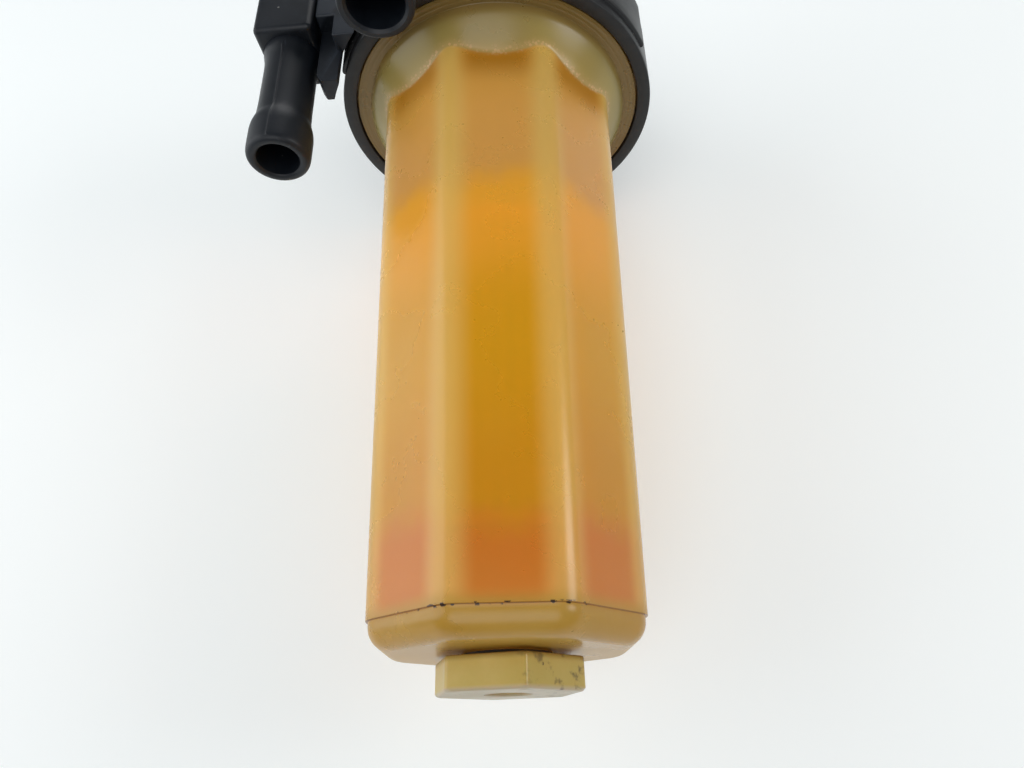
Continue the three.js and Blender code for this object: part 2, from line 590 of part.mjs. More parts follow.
class Helix extends THREE.Curve {
  getPoint(t, target = new THREE.Vector3()) {
    const low = floorZ + GAP + SPRING_WIRE / 2;
    const high = elementBottom - GAP - SPRING_WIRE / 2;
    const a = t * SPRING_TURNS * 2 * Math.PI;
    return target.set(springR * Math.cos(a), springR * Math.sin(a), low + t * (high - low));
  }
}

function spring() {
  const wire = new THREE.Shape();
  wire.absarc(0, 0, SPRING_WIRE / 2, 0, 2 * Math.PI);
  const steps = Math.round(SPRING_TURNS * 16);
  return solid(new THREE.ExtrudeGeometry(wire, { extrudePath: new Helix(), steps, curveSegments: 3 }));
}

function floatRing() {
  const z0 = floorZ + GAP;
  const z1 = z0 + FLOAT_HEIGHT;
  return turned([
    [floatInner, z0], [floatOuter - 0.6, z0], [floatOuter, z0 + 0.6], [floatOuter, z1 - 0.6],
    [floatOuter - 0.6, z1], [floatInner, z1],
  ], 40);
}

add('filter_head', filterHead(), moulded);
add('inlet_elbow', inletElbow(), moulded);
add('elbow_seal', elbowSeal(), rubber);
add('elbow_screw', elbowScrew(), steel);
add('standpipe', standpipe(), moulded);
add('standpipe_seal', torus(PIPE_COLLAR_R - 0.55, 0.75, pipeSealZ, 24), rubber);
add('bowl_seal', torus(sealR, BOWL_SEAL_D / 2, sealGrooveZ + GAP + BOWL_SEAL_D / 2, 40), rubber);
add('mounting_bracket', bracket(), steel);
['left', 'right'].forEach((side, i) => {
  const at = BRACKET_BOLT_AT[i];
  const seat = bracketZ + BRACKET_T + GAP;
  add(`bracket_bolt_${side}`, bracketBolt(at), steel);
  add(`bracket_washer_${side}`, tube(BOLT_WASHER_R, BOLT_R + GAP, seat, seat + BOLT_WASHER_T, SMALL_ROUND, at), steel);
});
add('bleed_screw', bleedScrew(), moulded);
add('bleed_seal', bleedSeal(), rubber);
add('ring_nut', ringNut(), moulded);
add('slip_washer', tube(FLANGE_RIM_R, nutMouth, washerZ, washerZ + WASHER_T, 48), steel);
add('bowl', bowl(), nylon);
add('element_spring', spring(), steel);
add('float_ring', floatRing(), redFloat);
add('element_top_cap', topCap(), capPlastic);
add('element_grommet', grommet(), rubber);
add('element_media', pleatedMedia(), paper);
add('element_core', elementCore(), capPlastic);
add('element_bottom_cap', bottomCap(), capPlastic);
add('drain_seal', drainSeal(), rubber);
add('drain_plug', drainPlug(), plugNylon);

export default part;
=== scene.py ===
"""Looks of the fuel filter and water separator, built round its frame. Metres, +Z up."""
import math

import bmesh
import bpy
from mathutils import Matrix, Vector, noise


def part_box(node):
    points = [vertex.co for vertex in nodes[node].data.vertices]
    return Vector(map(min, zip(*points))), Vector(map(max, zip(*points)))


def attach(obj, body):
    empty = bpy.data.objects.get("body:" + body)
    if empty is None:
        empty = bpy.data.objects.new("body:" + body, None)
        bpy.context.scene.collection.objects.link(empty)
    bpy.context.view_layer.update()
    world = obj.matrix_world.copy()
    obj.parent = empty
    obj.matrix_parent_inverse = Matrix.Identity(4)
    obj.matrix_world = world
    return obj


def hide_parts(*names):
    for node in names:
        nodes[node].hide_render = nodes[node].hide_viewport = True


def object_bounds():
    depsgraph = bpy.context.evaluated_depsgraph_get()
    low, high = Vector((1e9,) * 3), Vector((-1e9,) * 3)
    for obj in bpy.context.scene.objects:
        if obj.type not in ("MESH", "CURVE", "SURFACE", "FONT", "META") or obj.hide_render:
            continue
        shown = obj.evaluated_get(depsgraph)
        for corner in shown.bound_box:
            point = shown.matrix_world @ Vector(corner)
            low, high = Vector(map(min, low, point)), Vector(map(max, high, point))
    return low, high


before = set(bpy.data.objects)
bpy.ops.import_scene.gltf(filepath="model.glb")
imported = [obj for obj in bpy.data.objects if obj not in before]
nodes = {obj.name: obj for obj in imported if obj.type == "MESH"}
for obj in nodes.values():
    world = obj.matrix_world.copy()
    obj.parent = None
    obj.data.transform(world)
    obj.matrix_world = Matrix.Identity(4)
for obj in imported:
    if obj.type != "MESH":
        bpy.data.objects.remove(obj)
cad_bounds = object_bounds()
MM = 0.001


# ---- places, all worked out from the frame ----
def mid(node):
    low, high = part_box(node)
    return (low + high) / 2


bowl_low, bowl_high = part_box("bowl")
nut_low, nut_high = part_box("ring_nut")
AXIS = Vector((mid("bowl").x, mid("bowl").y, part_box("drain_plug")[0].z))


def over_plug(z):
    """A height in the frame as millimetres over the drain plug's underside."""
    return (z - AXIS.z) / MM


FOOT = over_plug(bowl_low.z)
PARTING = FOOT + 5
NUT_LOW, NUT_HIGH = over_plug(nut_low.z), over_plug(nut_high.z)
RIM = (bowl_high.x - bowl_low.x) / 2 / MM


def at(x, y, z):
    """A point given in millimetres from the middle of the drain plug's underside."""
    return AXIS + Vector((x, y, z)) * MM


def new_object(name, data):
    obj = bpy.data.objects.new(name, data)
    bpy.context.scene.collection.objects.link(obj)
    return obj


# ---- camera and stage ----
def make_camera():
    camera = new_object("camera", bpy.data.cameras.new("camera"))
    camera.location = at(13.48, -145.26, -9.74)
    camera.rotation_euler = [math.radians(a) for a in (116.367, 1.262, 5.124)]
    camera.data.sensor_width = 36
    camera.data.lens = 26.31
    camera.data.clip_start = 0.005
    bpy.context.scene.camera = camera


def area_light(name, location, aim, size, power, colour=(1, 1, 1)):
    lamp = bpy.data.lights.new(name, "AREA")
    lamp.shape = "DISK"
    lamp.size = size
    lamp.energy = power
    lamp.color = colour
    holder = new_object(name, lamp)
    holder.location = location
    holder.rotation_euler = (Vector(aim) - Vector(location)).to_track_quat("-Z", "Y").to_euler()


def make_stage():
    """A pale board behind the filter, pale light all round and four soft lamps."""
    board = bpy.data.meshes.new("backdrop")
    y = cad_bounds[1][1] + 0.001
    reach = 2.5
    corners = [(-reach, y, -reach), (reach, y, -reach), (reach, y, reach), (-reach, y, reach)]
    board.from_pydata(corners, [], [(0, 1, 2, 3)])
    backdrop = new_object("backdrop", board)
    material = bpy.data.materials.new("pale_board")
    material.use_nodes = True
    tree = material.node_tree
    shader = tree.nodes["Principled BSDF"]
    shader.inputs["Base Color"].default_value = (0.80, 0.83, 0.83, 1)
    shader.inputs["Roughness"].default_value = 0.6
    shader.inputs["Emission Color"].default_value = (0.93, 0.98, 1.0, 1)
    shader.inputs["Emission Strength"].default_value = 0.2
    clear = tree.nodes.new("ShaderNodeBsdfTransparent")
    side = tree.nodes.new("ShaderNodeNewGeometry")
    mix = tree.nodes.new("ShaderNodeMixShader")
    tree.links.new(side.outputs["Backfacing"], mix.inputs[0])
    tree.links.new(shader.outputs[0], mix.inputs[1])
    tree.links.new(clear.outputs[0], mix.inputs[2])
    tree.links.new(mix.outputs[0], tree.nodes["Material Output"].inputs["Surface"])
    board.materials.append(material)
    world = bpy.data.worlds.new("studio")
    world.use_nodes = True
    world.node_tree.nodes["Background"].inputs["Color"].default_value = (0.93, 0.97, 1.0, 1)
    world.node_tree.nodes["Background"].inputs["Strength"].default_value = 0.2
    bpy.context.scene.world = world
    target = at(0, 0, 90)
    area_light("left_panel", at(-620, -260, 160), target, 0.8, 3.0, (0.97, 0.99, 1.0))
    area_light("right_panel", at(560, -330, 120), target, 0.3, 1.3, (1.0, 0.99, 0.97))
    area_light("ceiling", at(60, -160, 760), target, 0.5, 1.6)
    area_light("low_fill", at(-60, -900, -420), target, 0.9, 4.2)
    bpy.context.scene.view_settings.view_transform = "Standard"


# ---- meshes ----
def to_object(name, mesh_data, material, smooth_angle=None):
    obj = new_object(name, mesh_data)
    mesh_data.materials.append(material)
    if smooth_angle is not None:
        mesh_data.shade_smooth()
        mesh_data.set_sharp_from_angle(angle=math.radians(smooth_angle))
    return obj


def new_mesh(name, points, faces):
    mesh = bpy.data.meshes.new(name)
    mesh.from_pydata(points, [], faces)
    mesh.update()
    return mesh


def from_bmesh(name, bm):
    mesh = bpy.data.meshes.new(name)
    bm.to_mesh(mesh)
    bm.free()
    return mesh


def settle(obj):
    """The object's mesh with its modifiers applied."""
    graph = bpy.context.evaluated_depsgraph_get()
    obj.data = bpy.data.meshes.new_from_object(obj.evaluated_get(graph))
    obj.modifiers.clear()
    return obj


def polygon_radius(angle, half, corner, sides=8):
    """Distance to the outline of a rounded regular polygon, flats `half` away. corner = half is a circle."""
    step = math.pi / sides
    off = abs((angle + step) % (2 * step) - step)
    run = (half - corner) * math.tan(step)
    if off <= math.atan2(run, half):
        return half / math.cos(off)
    centre = (half - corner) / math.cos(step)
    lean = step - off
    return centre * math.cos(lean) + math.sqrt(max(corner ** 2 - (centre * math.sin(lean)) ** 2, 0))


def ring_surface(name, rings, count, radius, centre=(0, 0), closed=True):
    """Rings of `count` points about an upright axis. radius(ring, angle) gives its (radius, height)."""
    points = []
    for ring in rings:
        for i in range(count):
            angle = 2 * math.pi * i / count
            r, z = radius(ring, angle)
            points.append(at(centre[0] + r * math.cos(angle), centre[1] + r * math.sin(angle), z))
    faces = []
    total = len(rings)
    for j in range(total if closed else total - 1):
        a, b = j * count, (j + 1) % total * count
        for i in range(count):
            k = (i + 1) % count
            faces.append((a + i, a + k, b + k, b + i))
    if not closed:
        faces.append(tuple(range(count))[::-1])
        faces.append(tuple(range((total - 1) * count, total * count)))
    return new_mesh(name, points, faces)


def turned(name, profile, count=96, centre=(0, 0), closed=True):
    """A turned mesh from (radius, z) points in millimetres that run up the outside."""
    return ring_surface(name, profile, count, lambda p, angle: p, centre, closed)


def rounded(profile, radius, parts=4, closed=True):
    """The profile with each of its corners rounded by an arc of up to `radius`."""
    result = []
    size = len(profile)
    for i, point in enumerate(profile):
        here = Vector(point)
        if not closed and i in (0, size - 1):
            result.append(tuple(here))
            continue
        before, after = Vector(profile[i - 1]), Vector(profile[(i + 1) % size])
        to_before, to_after = before - here, after - here
        trim = min(radius, to_before.length * 0.45, to_after.length * 0.45)
        start = here + to_before.normalized() * trim
        end = here + to_after.normalized() * trim
        for k in range(parts + 1):
            t = k / parts
            result.append(tuple(start * (1 - t) ** 2 + here * 2 * t * (1 - t) + end * t ** 2))
    return result


def bevelled_box(name, low, high, radius, segments=3):
    """A box between two corners in millimetres, with its edges rounded."""
    bm = bmesh.new()
    bmesh.ops.create_cube(bm, size=1)
    low, high = Vector(low), Vector(high)
    for vert in bm.verts:
        place = Vector([low[i] + (vert.co[i] + 0.5) * (high[i] - low[i]) for i in range(3)])
        vert.co = at(*place)
    bmesh.ops.bevel(bm, geom=bm.edges[:], offset=radius * MM, segments=segments, profile=0.5,
                    affect="EDGES")
    return from_bmesh(name, bm)


def bar(name, start, end, radius, count=48):
    """A round bar between two points in millimetres."""
    bm = bmesh.new()
    a, b = at(*start), at(*end)
    turn = (b - a).to_track_quat("Z", "Y").to_matrix().to_4x4()
    place = Matrix.Translation((a + b) / 2) @ turn
    bmesh.ops.create_cone(bm, cap_ends=True, segments=count, radius1=radius * MM, radius2=radius * MM,
                          depth=(b - a).length, matrix=place)
    return from_bmesh(name, bm)


def add(*meshes):
    return [("UNION", mesh) for mesh in meshes]


def cut(*meshes):
    return [("DIFFERENCE", mesh) for mesh in meshes]


def combine(base, work):
    """The mesh `base` with meshes joined to it or cut from it, in order, as one closed solid."""
    body = new_object("work", base)
    helpers = []
    for operation, mesh in work:
        helper = new_object("helper", mesh)
        helpers.append(helper)
        modifier = body.modifiers.new(operation, "BOOLEAN")
        modifier.operation = operation
        modifier.solver = "EXACT"
        modifier.object = helper
    bpy.context.view_layer.update()
    graph = bpy.context.evaluated_depsgraph_get()
    result = bpy.data.meshes.new_from_object(body.evaluated_get(graph))
    for extra in helpers + [body]:
        bpy.data.objects.remove(extra)
    result.materials.clear()
    return result


def solidify_normals(mesh):
    bm = bmesh.new()
    bm.from_mesh(mesh)
    bmesh.ops.remove_doubles(bm, verts=bm.verts, dist=1e-7)
    bmesh.ops.recalc_face_normals(bm, faces=bm.faces)
    bm.to_mesh(mesh)
    bm.free()
    return mesh


def refined(node, name, material, bevel, angle=30):
    """A copy of a node's mesh, merged, with its flat faces whole and its edges rounded."""
    mesh = nodes[node].data.copy()
    mesh.materials.clear()
    bm = bmesh.new()
    bm.from_mesh(mesh)
    bmesh.ops.remove_doubles(bm, verts=bm.verts, dist=1e-6)
    bmesh.ops.dissolve_limit(bm, angle_limit=math.radians(1), verts=bm.verts, edges=bm.edges)
    bm.to_mesh(mesh)
    bm.free()
    for name_left in [a.name for a in mesh.attributes if a.name.startswith(("custom_normal", "sharp_"))]:
        mesh.attributes.remove(mesh.attributes[name_left])
    obj = to_object(name, mesh, material)
    rounding = obj.modifiers.new("edges", "BEVEL")
    rounding.width = bevel * MM
    rounding.segments = 2
    rounding.limit_method = "ANGLE"
    rounding.angle_limit = math.radians(angle)
    settle(obj)
    obj.data.shade_smooth()
    obj.data.set_sharp_from_angle(angle=math.radians(35))
    return obj


def fit(obj, body, slot, *replaced):
    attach(obj, body)
    if replaced:
        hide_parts(*replaced)
    return obj


# ---- shader groups ----
def group(name, inputs, outputs):
    """An empty shader group. Inputs are (name, type, default) and outputs are (name, type)."""
    tree = bpy.data.node_groups.new(name, "ShaderNodeTree")
    for label, kind, default in inputs:
        socket = tree.interface.new_socket(label, in_out="INPUT", socket_type=kind)
        socket.default_value = default
    for label, kind in outputs:
        tree.interface.new_socket(label, in_out="OUTPUT", socket_type=kind)
    return tree, tree.nodes.new("NodeGroupInput"), tree.nodes.new("NodeGroupOutput")


def link(tree, source, target):
    tree.links.new(source, target)


def times(tree, a, b):
    return maths(tree, "MULTIPLY", a, b)


def noise_node(tree, vector, scale, detail=4, roughness=0.6):
    node = tree.nodes.new("ShaderNodeTexNoise")
    node.inputs["Detail"].default_value = detail
    node.inputs["Roughness"].default_value = roughness
    link(tree, vector, node.inputs["Vector"])
    if isinstance(scale, (int, float)):
        node.inputs["Scale"].default_value = scale
    else:
        link(tree, scale, node.inputs["Scale"])
    return node.outputs["Fac"]


def ramp(tree, value, low, high):
    """0 below low, 1 above high, smooth between them."""
    node = tree.nodes.new("ShaderNodeMapRange")
    node.interpolation_type = "SMOOTHSTEP"
    link(tree, value, node.inputs["Value"])
    for name, bound in (("From Min", low), ("From Max", high)):
        if isinstance(bound, (int, float)):
            node.inputs[name].default_value = bound
        else:
            link(tree, bound, node.inputs[name])
    return node.outputs["Result"]


def maths(tree, operation, a, b=None):
    node = tree.nodes.new("ShaderNodeMath")
    node.operation = operation
    for i, value in enumerate((a, b)):
        if value is None:
            continue
        if isinstance(value, (int, float)):
            node.inputs[i].default_value = value
        else:
            link(tree, value, node.inputs[i])
    return node.outputs[0]


def blend_colour(tree, factor, first, second):
    node = tree.nodes.new("ShaderNodeMix")
    node.data_type = "RGBA"
    for socket, value in ((node.inputs["Factor"], factor), (node.inputs[6], first),
                          (node.inputs[7], second)):
        if isinstance(value, (int, float)):
            socket.default_value = value
        elif isinstance(value, tuple):
            socket.default_value = (*value, 1)
        else:
            link(tree, value, socket)
    return node.outputs[2]


def make_grain():
    """The fine skin of a moulding: a height for bump and a mask of its slow patches."""
    tree, given, made = group(
        "moulded_grain", [("Vector", "NodeSocketVector", (0, 0, 0)), ("Scale", "NodeSocketFloat", 1.0)],
        [("Height", "NodeSocketFloat"), ("Patches", "NodeSocketFloat")])
    fine = noise_node(tree, given.outputs["Vector"], times(tree, given.outputs["Scale"], 2600), 3)
    waves = noise_node(tree, given.outputs["Vector"], times(tree, given.outputs["Scale"], 190), 3)
    slow = noise_node(tree, given.outputs["Vector"], times(tree, given.outputs["Scale"], 55), 5)
    height = maths(tree, "ADD", times(tree, fine, 0.35), times(tree, waves, 0.65))
    link(tree, height, made.inputs["Height"])
    link(tree, ramp(tree, slow, 0.35, 0.68), made.inputs["Patches"])
    return tree


def make_specks():
    """Scattered specks: a mask, 1 on each speck. Cover says how much of the surface may hold them."""
    tree, given, made = group(
        "specks", [("Vector", "NodeSocketVector", (0, 0, 0)), ("Scale", "NodeSocketFloat", 700.0),
                   ("Size", "NodeSocketFloat", 0.2), ("Cover", "NodeSocketFloat", 0.5)],
        [("Mask", "NodeSocketFloat")])
    cells = tree.nodes.new("ShaderNodeTexVoronoi")
    link(tree, given.outputs["Vector"], cells.inputs["Vector"])
    link(tree, given.outputs["Scale"], cells.inputs["Scale"])
    chosen = tree.nodes.new("ShaderNodeSeparateColor")
    link(tree, cells.outputs["Color"], chosen.inputs[0])
    reach = times(tree, chosen.outputs[1], given.outputs["Size"])
    inside = ramp(tree, maths(tree, "SUBTRACT", reach, cells.outputs["Distance"]), 0.0, 0.04)
    picked = maths(tree, "LESS_THAN", chosen.outputs[0], given.outputs["Cover"])
    link(tree, times(tree, inside, picked), made.inputs["Mask"])
    return tree


def make_scratches():
    """Thin scratches along the height: a mask that is 1 on each."""
    tree, given, made = group(
        "scratches", [("Vector", "NodeSocketVector", (0, 0, 0)), ("Scale", "NodeSocketFloat", 1.0),
                      ("Amount", "NodeSocketFloat", 0.5)],
        [("Mask", "NodeSocketFloat")])
    stretch = tree.nodes.new("ShaderNodeMapping")
    stretch.inputs["Scale"].default_value = (1500, 1500, 45)
    link(tree, given.outputs["Vector"], stretch.inputs["Vector"])
    lines = noise_node(tree, stretch.outputs["Vector"], given.outputs["Scale"], 2, 0.4)
    where = noise_node(tree, given.outputs["Vector"], 70, 3)
    thin = ramp(tree, lines, 0.64, 0.72)
    kept = ramp(tree, where, 0.52, 0.62)
    mask = times(tree, times(tree, thin, kept), given.outputs["Amount"])
    link(tree, mask, made.inputs["Mask"])
    return tree


def make_edges():
    """Worn rims and hollow corners, from how the surface bends: masks for both."""
    tree, given, made = group(
        "edges", [("Vector", "NodeSocketVector", (0, 0, 0)), ("Break", "NodeSocketFloat", 0.5)],
        [("Worn", "NodeSocketFloat"), ("Hollows", "NodeSocketFloat")])
    shape = tree.nodes.new("ShaderNodeNewGeometry")
    patchy = noise_node(tree, given.outputs["Vector"], 420, 4)
    broken = times(tree, maths(tree, "SUBTRACT", patchy, 0.5), given.outputs["Break"])
    bend = maths(tree, "ADD", shape.outputs["Pointiness"], times(tree, broken, 0.12))
    link(tree, ramp(tree, bend, 0.53, 0.60), made.inputs["Worn"])
    # Hollows: 1 in concave places, used to darken corners and creases.
    link(tree, ramp(tree, bend, 0.47, 0.41), made.inputs["Hollows"])
    return tree


GRAIN, SPECKS, SCRATCHES, EDGES = make_grain(), make_specks(), make_scratches(), make_edges()


class Finish:
    """One material under construction: its tree, its shader and the object coordinates."""

    def __init__(self, name, **fixed):
        self.material = bpy.data.materials.new(name)
        self.material.use_nodes = True
        self.tree = self.material.node_tree
        self.shader = self.tree.nodes["Principled BSDF"]
        self.place = self.tree.nodes.new("ShaderNodeTexCoord").outputs["Object"]
        for label, value in fixed.items():
            self.shader.inputs[label.replace("_", " ")].default_value = value

    def use(self, tree, **values):
        node = self.tree.nodes.new("ShaderNodeGroup")
        node.node_tree = tree
        link(self.tree, self.place, node.inputs["Vector"])
        for label, value in values.items():
            node.inputs[label].default_value = value
        return node.outputs

    def along(self, letter):
        split = self.tree.nodes.new("ShaderNodeSeparateXYZ")
        link(self.tree, self.place, split.inputs[0])
        return split.outputs[letter]

    def height_above_plug(self):
        """Height over the drain plug's underside, in millimetres."""
        return times(self.tree, maths(self.tree, "SUBTRACT", self.along("Z"), AXIS.z), 1 / MM)

    def bump(self, height, strength, distance):
        node = self.tree.nodes.new("ShaderNodeBump")
        node.inputs["Strength"].default_value = strength
        node.inputs["Distance"].default_value = distance * MM
        link(self.tree, height, node.inputs["Height"])
        link(self.tree, node.outputs["Normal"], self.shader.inputs["Normal"])

    def colour(self, source):
        link(self.tree, source, self.shader.inputs["Base Color"])

    def roughness(self, mask, low, high):
        node = self.tree.nodes.new("ShaderNodeMapRange")
        node.inputs["To Min"].default_value = low
        node.inputs["To Max"].default_value = high
        link(self.tree, mask, node.inputs["Value"])
        link(self.tree, node.outputs["Result"], self.shader.inputs["Roughness"])


# ---- finishes ----
def black_nylon(name, base, dusty, rough):
    """Glass-filled nylon: a dull satin black with paler rims, a few scratches and pale dust."""
    f = Finish(name, Specular_IOR_Level=0.35)
    tree = f.tree
    grain = f.use(GRAIN, Scale=1.0)
    edges = f.use(EDGES, Break=0.8)
    dust = f.use(SPECKS, Scale=520.0, Size=0.16, Cover=0.12)
    marks = f.use(SCRATCHES, Scale=1.0, Amount=0.5)
    colour = blend_colour(tree, grain["Patches"], base, tuple(c * 1.5 + 0.002 for c in base))
    colour = blend_colour(tree, times(tree, edges["Worn"], 0.5), colour, tuple(c * 4 + 0.01 for c in base))
    colour = blend_colour(tree, marks["Mask"], colour, tuple(c * 3 + 0.01 for c in base))
    colour = blend_colour(tree, times(tree, dust["Mask"], dusty), colour, (0.35, 0.34, 0.31))
    f.colour(colour)
    f.roughness(grain["Patches"], rough, rough + 0.12)
    f.bump(grain["Height"], 0.35, 0.05)
    return f.material


def zones(tree, value, stops):
    """A colour that changes smoothly through (value, colour) stops."""
    colour = stops[0][1]
    for (low, _), (high, after) in zip(stops, stops[1:]):
        colour = blend_colour(tree, ramp(tree, value, low, high), colour, after)
    return colour


def own_mask(tree, name):
    node = tree.nodes.new("ShaderNodeAttribute")
    node.attribute_name = name
    return node.outputs["Fac"]


def amber_nylon():
    """The bowl: milky amber nylon, painted by height with the glow of the orange element and red float
    behind its wall, with painted highlights down its corners and a painted shadow below the nut; olive at
    its shoulder and foot.
    """
    f = Finish("bowl_amber_nylon", Transmission_Weight=0.4, IOR=1.5, Specular_IOR_Level=0.35)
    tree = f.tree
    grain = f.use(GRAIN, Scale=0.8)
    marks = f.use(SCRATCHES, Scale=1.0, Amount=0.5)
    grit = f.use(SPECKS, Scale=1100.0, Size=0.75, Cover=0.75)
    granules = f.use(SPECKS, Scale=1500.0, Size=0.7, Cover=0.9)
    z = f.height_above_plug()
    wall, edge = own_mask(tree, "wall"), own_mask(tree, "scallop")
    drift = times(tree, maths(tree, "SUBTRACT", noise_node(tree, f.place, 45, 4), 0.5), 14)
    level = maths(tree, "ADD", z, drift)
    # Painted glow by height: the orange element and the red float behind the wall, painted into the amber
    # wall's colour.
    painted_light_and_shade = zones(tree, level, [
        (8, (0.66, 0.33, 0.02)), (13, (0.68, 0.265, 0.03)), (21, (0.67, 0.25, 0.02)),
        (30, (0.67, 0.34, 0.003)), (60, (0.72, 0.41, 0.004)), (94, (0.88, 0.47, 0.03)),
        (101, (0.74, 0.42, 0.09)), (128, (0.80, 0.46, 0.085))])
    # Corners painted paler: a painted highlight down each corner of the octagon.
    painted_light_and_shade = blend_colour(tree, times(tree, own_mask(tree, "corner"), 0.7), painted_light_and_shade, (0.80, 0.60, 0.17))
    # Darker band just below the nut, away from the corners: painted shadow of the head's black skirt.
    skirt_shadow = times(tree, ramp(tree, z, NUT_LOW - 19, NUT_LOW - 10), 0.9)
    skirt_shadow = times(tree, skirt_shadow, maths(tree, "SUBTRACT", 1.0, own_mask(tree, "corner")))
    painted_light_and_shade = blend_colour(tree, skirt_shadow, painted_light_and_shade, (0.55, 0.25, 0.012))
    shoulder = zones(tree, z, [(NUT_LOW - 9, (0.45, 0.37, 0.10)), (NUT_LOW - 4, (0.39, 0.33, 0.10)),
                               (NUT_LOW + 0.3, (0.30, 0.205, 0.06))])
    foot = blend_colour(tree, grain["Patches"], (0.58, 0.34, 0.045), (0.64, 0.40, 0.07))
    colour = blend_colour(tree, wall, shoulder, painted_light_and_shade)
    colour = blend_colour(tree, ramp(tree, z, PARTING + 3, PARTING - 1), colour, foot)
    crumbs = times(tree, edge, maths(tree, "ADD", times(tree, granules["Mask"], 0.7), 0.3))
    colour = blend_colour(tree, times(tree, crumbs, 0.85), colour, (0.78, 0.55, 0.26))
    front = ramp(tree, f.along("Y"), AXIS.y - 16 * MM, AXIS.y - 23 * MM)
    line = times(tree, ramp(tree, z, PARTING - 0.45, PARTING - 0.1),
                 ramp(tree, z, PARTING + 0.4, PARTING + 0.12))
    clumps = ramp(tree, noise_node(tree, f.place, 330, 2), 0.42, 0.55)
    black_line = times(tree, times(tree, line, front), times(tree, grit["Mask"], clumps))
    off_line = maths(tree, "ABSOLUTE", maths(tree, "SUBTRACT", z, PARTING))
    thin = times(tree, ramp(tree, off_line, 0.14, 0.05), 0.6)
    colour = blend_colour(tree, thin, colour, (0.16, 0.08, 0.02))
    colour = blend_colour(tree, times(tree, marks["Mask"], 0.05), colour, (0.8, 0.62, 0.36))
    colour = blend_colour(tree, black_line, colour, (0.015, 0.01, 0.008))
    f.colour(colour)
    f.roughness(grain["Patches"], 0.24, 0.34)
    skin = maths(tree, "ADD", grain["Height"], times(tree, crumbs, 2.5))
    f.bump(skin, 0.02, 0.08)
    passing = tree.nodes.new("ShaderNodeBsdfTransparent")
    passing.inputs["Color"].default_value = (0.85, 0.62, 0.30, 1)
    path = tree.nodes.new("ShaderNodeLightPath")
    mix = tree.nodes.new("ShaderNodeMixShader")
    link(tree, path.outputs["Is Shadow Ray"], mix.inputs[0])
    link(tree, f.shader.outputs[0], mix.inputs[1])
    link(tree, passing.outputs[0], mix.inputs[2])
    link(tree, mix.outputs[0], tree.nodes["Material Output"].inputs["Surface"])
    return f.material


def plug_nylon():
    """The drain plug: thicker, nearly opaque nylon with black grit on its faces, darker in its corners, and
    painted shade at the top of its hexagon under the bowl.
    """
    f = Finish("plug_aged_nylon", Subsurface_Weight=0.25, Subsurface_Scale=0.002)
    tree = f.tree
    grain = f.use(GRAIN, Scale=1.0)
    edges = f.use(EDGES, Break=1.0)
    grit = f.use(SPECKS, Scale=620.0, Size=0.3, Cover=0.35)
    z = f.height_above_plug()
    right = ramp(tree, f.along("X"), AXIS.x - 2 * MM, AXIS.x + 10 * MM)
    colour = blend_colour(tree, grain["Patches"], (0.47, 0.35, 0.08), (0.54, 0.41, 0.12))
    colour = blend_colour(tree, ramp(tree, z, 1.0, 0.1), colour, (0.47, 0.38, 0.24))
    # Dark band at the top of the hexagon: painted shade in the gap under the bowl.
    colour = blend_colour(tree, times(tree, ramp(tree, z, 4.6, 6.2), 0.7), colour, (0.10, 0.06, 0.02))
    smear = ramp(tree, noise_node(tree, f.place, 330, 5), 0.52, 0.66)
    colour = blend_colour(tree, times(tree, smear, times(tree, right, 0.75)), colour,
                          (0.07, 0.045, 0.02))
    dotted = times(tree, grit["Mask"], ramp(tree, noise_node(tree, f.place, 200, 2), 0.5, 0.6))
    # Black grit specks, and darker in corners from the hollows mask.
    colour = blend_colour(tree, maths(tree, "MAXIMUM", dotted, times(tree, edges["Hollows"], 0.6)), colour,
                          (0.015, 0.012, 0.01))
    f.colour(colour)
    f.roughness(grain["Patches"], 0.3, 0.46)
    f.bump(grain["Height"], 0.4, 0.06)
    return f.material


def plain_finish(name, light, dark, rough, bump_size, bump_scale=1.0, **fixed):
    """A finish with slow patches between two colours, worn rims and a fine skin."""
    f = Finish(name, **fixed)
    grain = f.use(GRAIN, Scale=bump_scale)
    edges = f.use(EDGES, Break=0.7)
    colour = blend_colour(f.tree, grain["Patches"], light, dark)
    worn = tuple(min(1, c * 1.35 + 0.01) for c in light)
    colour = blend_colour(f.tree, times(f.tree, edges["Worn"], 0.5), colour, worn)
    # Darker in hollows and corners.
    colour = blend_colour(f.tree, times(f.tree, edges["Hollows"], 0.5), colour, tuple(c * 0.4 for c in dark))
    f.colour(colour)
    f.roughness(grain["Patches"], *rough)
    f.bump(grain["Height"], 0.4, bump_size)
    return f.material


black = black_nylon("head_black_nylon", (0.0045, 0.0065, 0.010), 0.5, 0.4)
nut_black = black_nylon("nut_black_nylon", (0.008, 0.0085, 0.0095), 0.45, 0.36)
amber = amber_nylon()
plug_finish = plug_nylon()
rubber = plain_finish("seal_rubber", (0.016, 0.016, 0.017), (0.028, 0.027, 0.026), (0.6, 0.75), 0.04)
steel = plain_finish("zinc_plated_steel", (0.52, 0.53, 0.50), (0.40, 0.41, 0.37), (0.34, 0.5), 0.02, 1.4,
                     Metallic=1.0)
orange_plastic = plain_finish("element_orange_plastic", (0.80, 0.36, 0.06), (0.70, 0.28, 0.04), (0.4, 0.55),
                              0.04)
paper = plain_finish("element_pleated_paper", (0.86, 0.47, 0.09), (0.72, 0.34, 0.05), (0.75, 0.9), 0.12,
                     0.6)
red = plain_finish("float_red_plastic", (0.62, 0.055, 0.03), (0.5, 0.035, 0.02), (0.35, 0.5), 0.04)


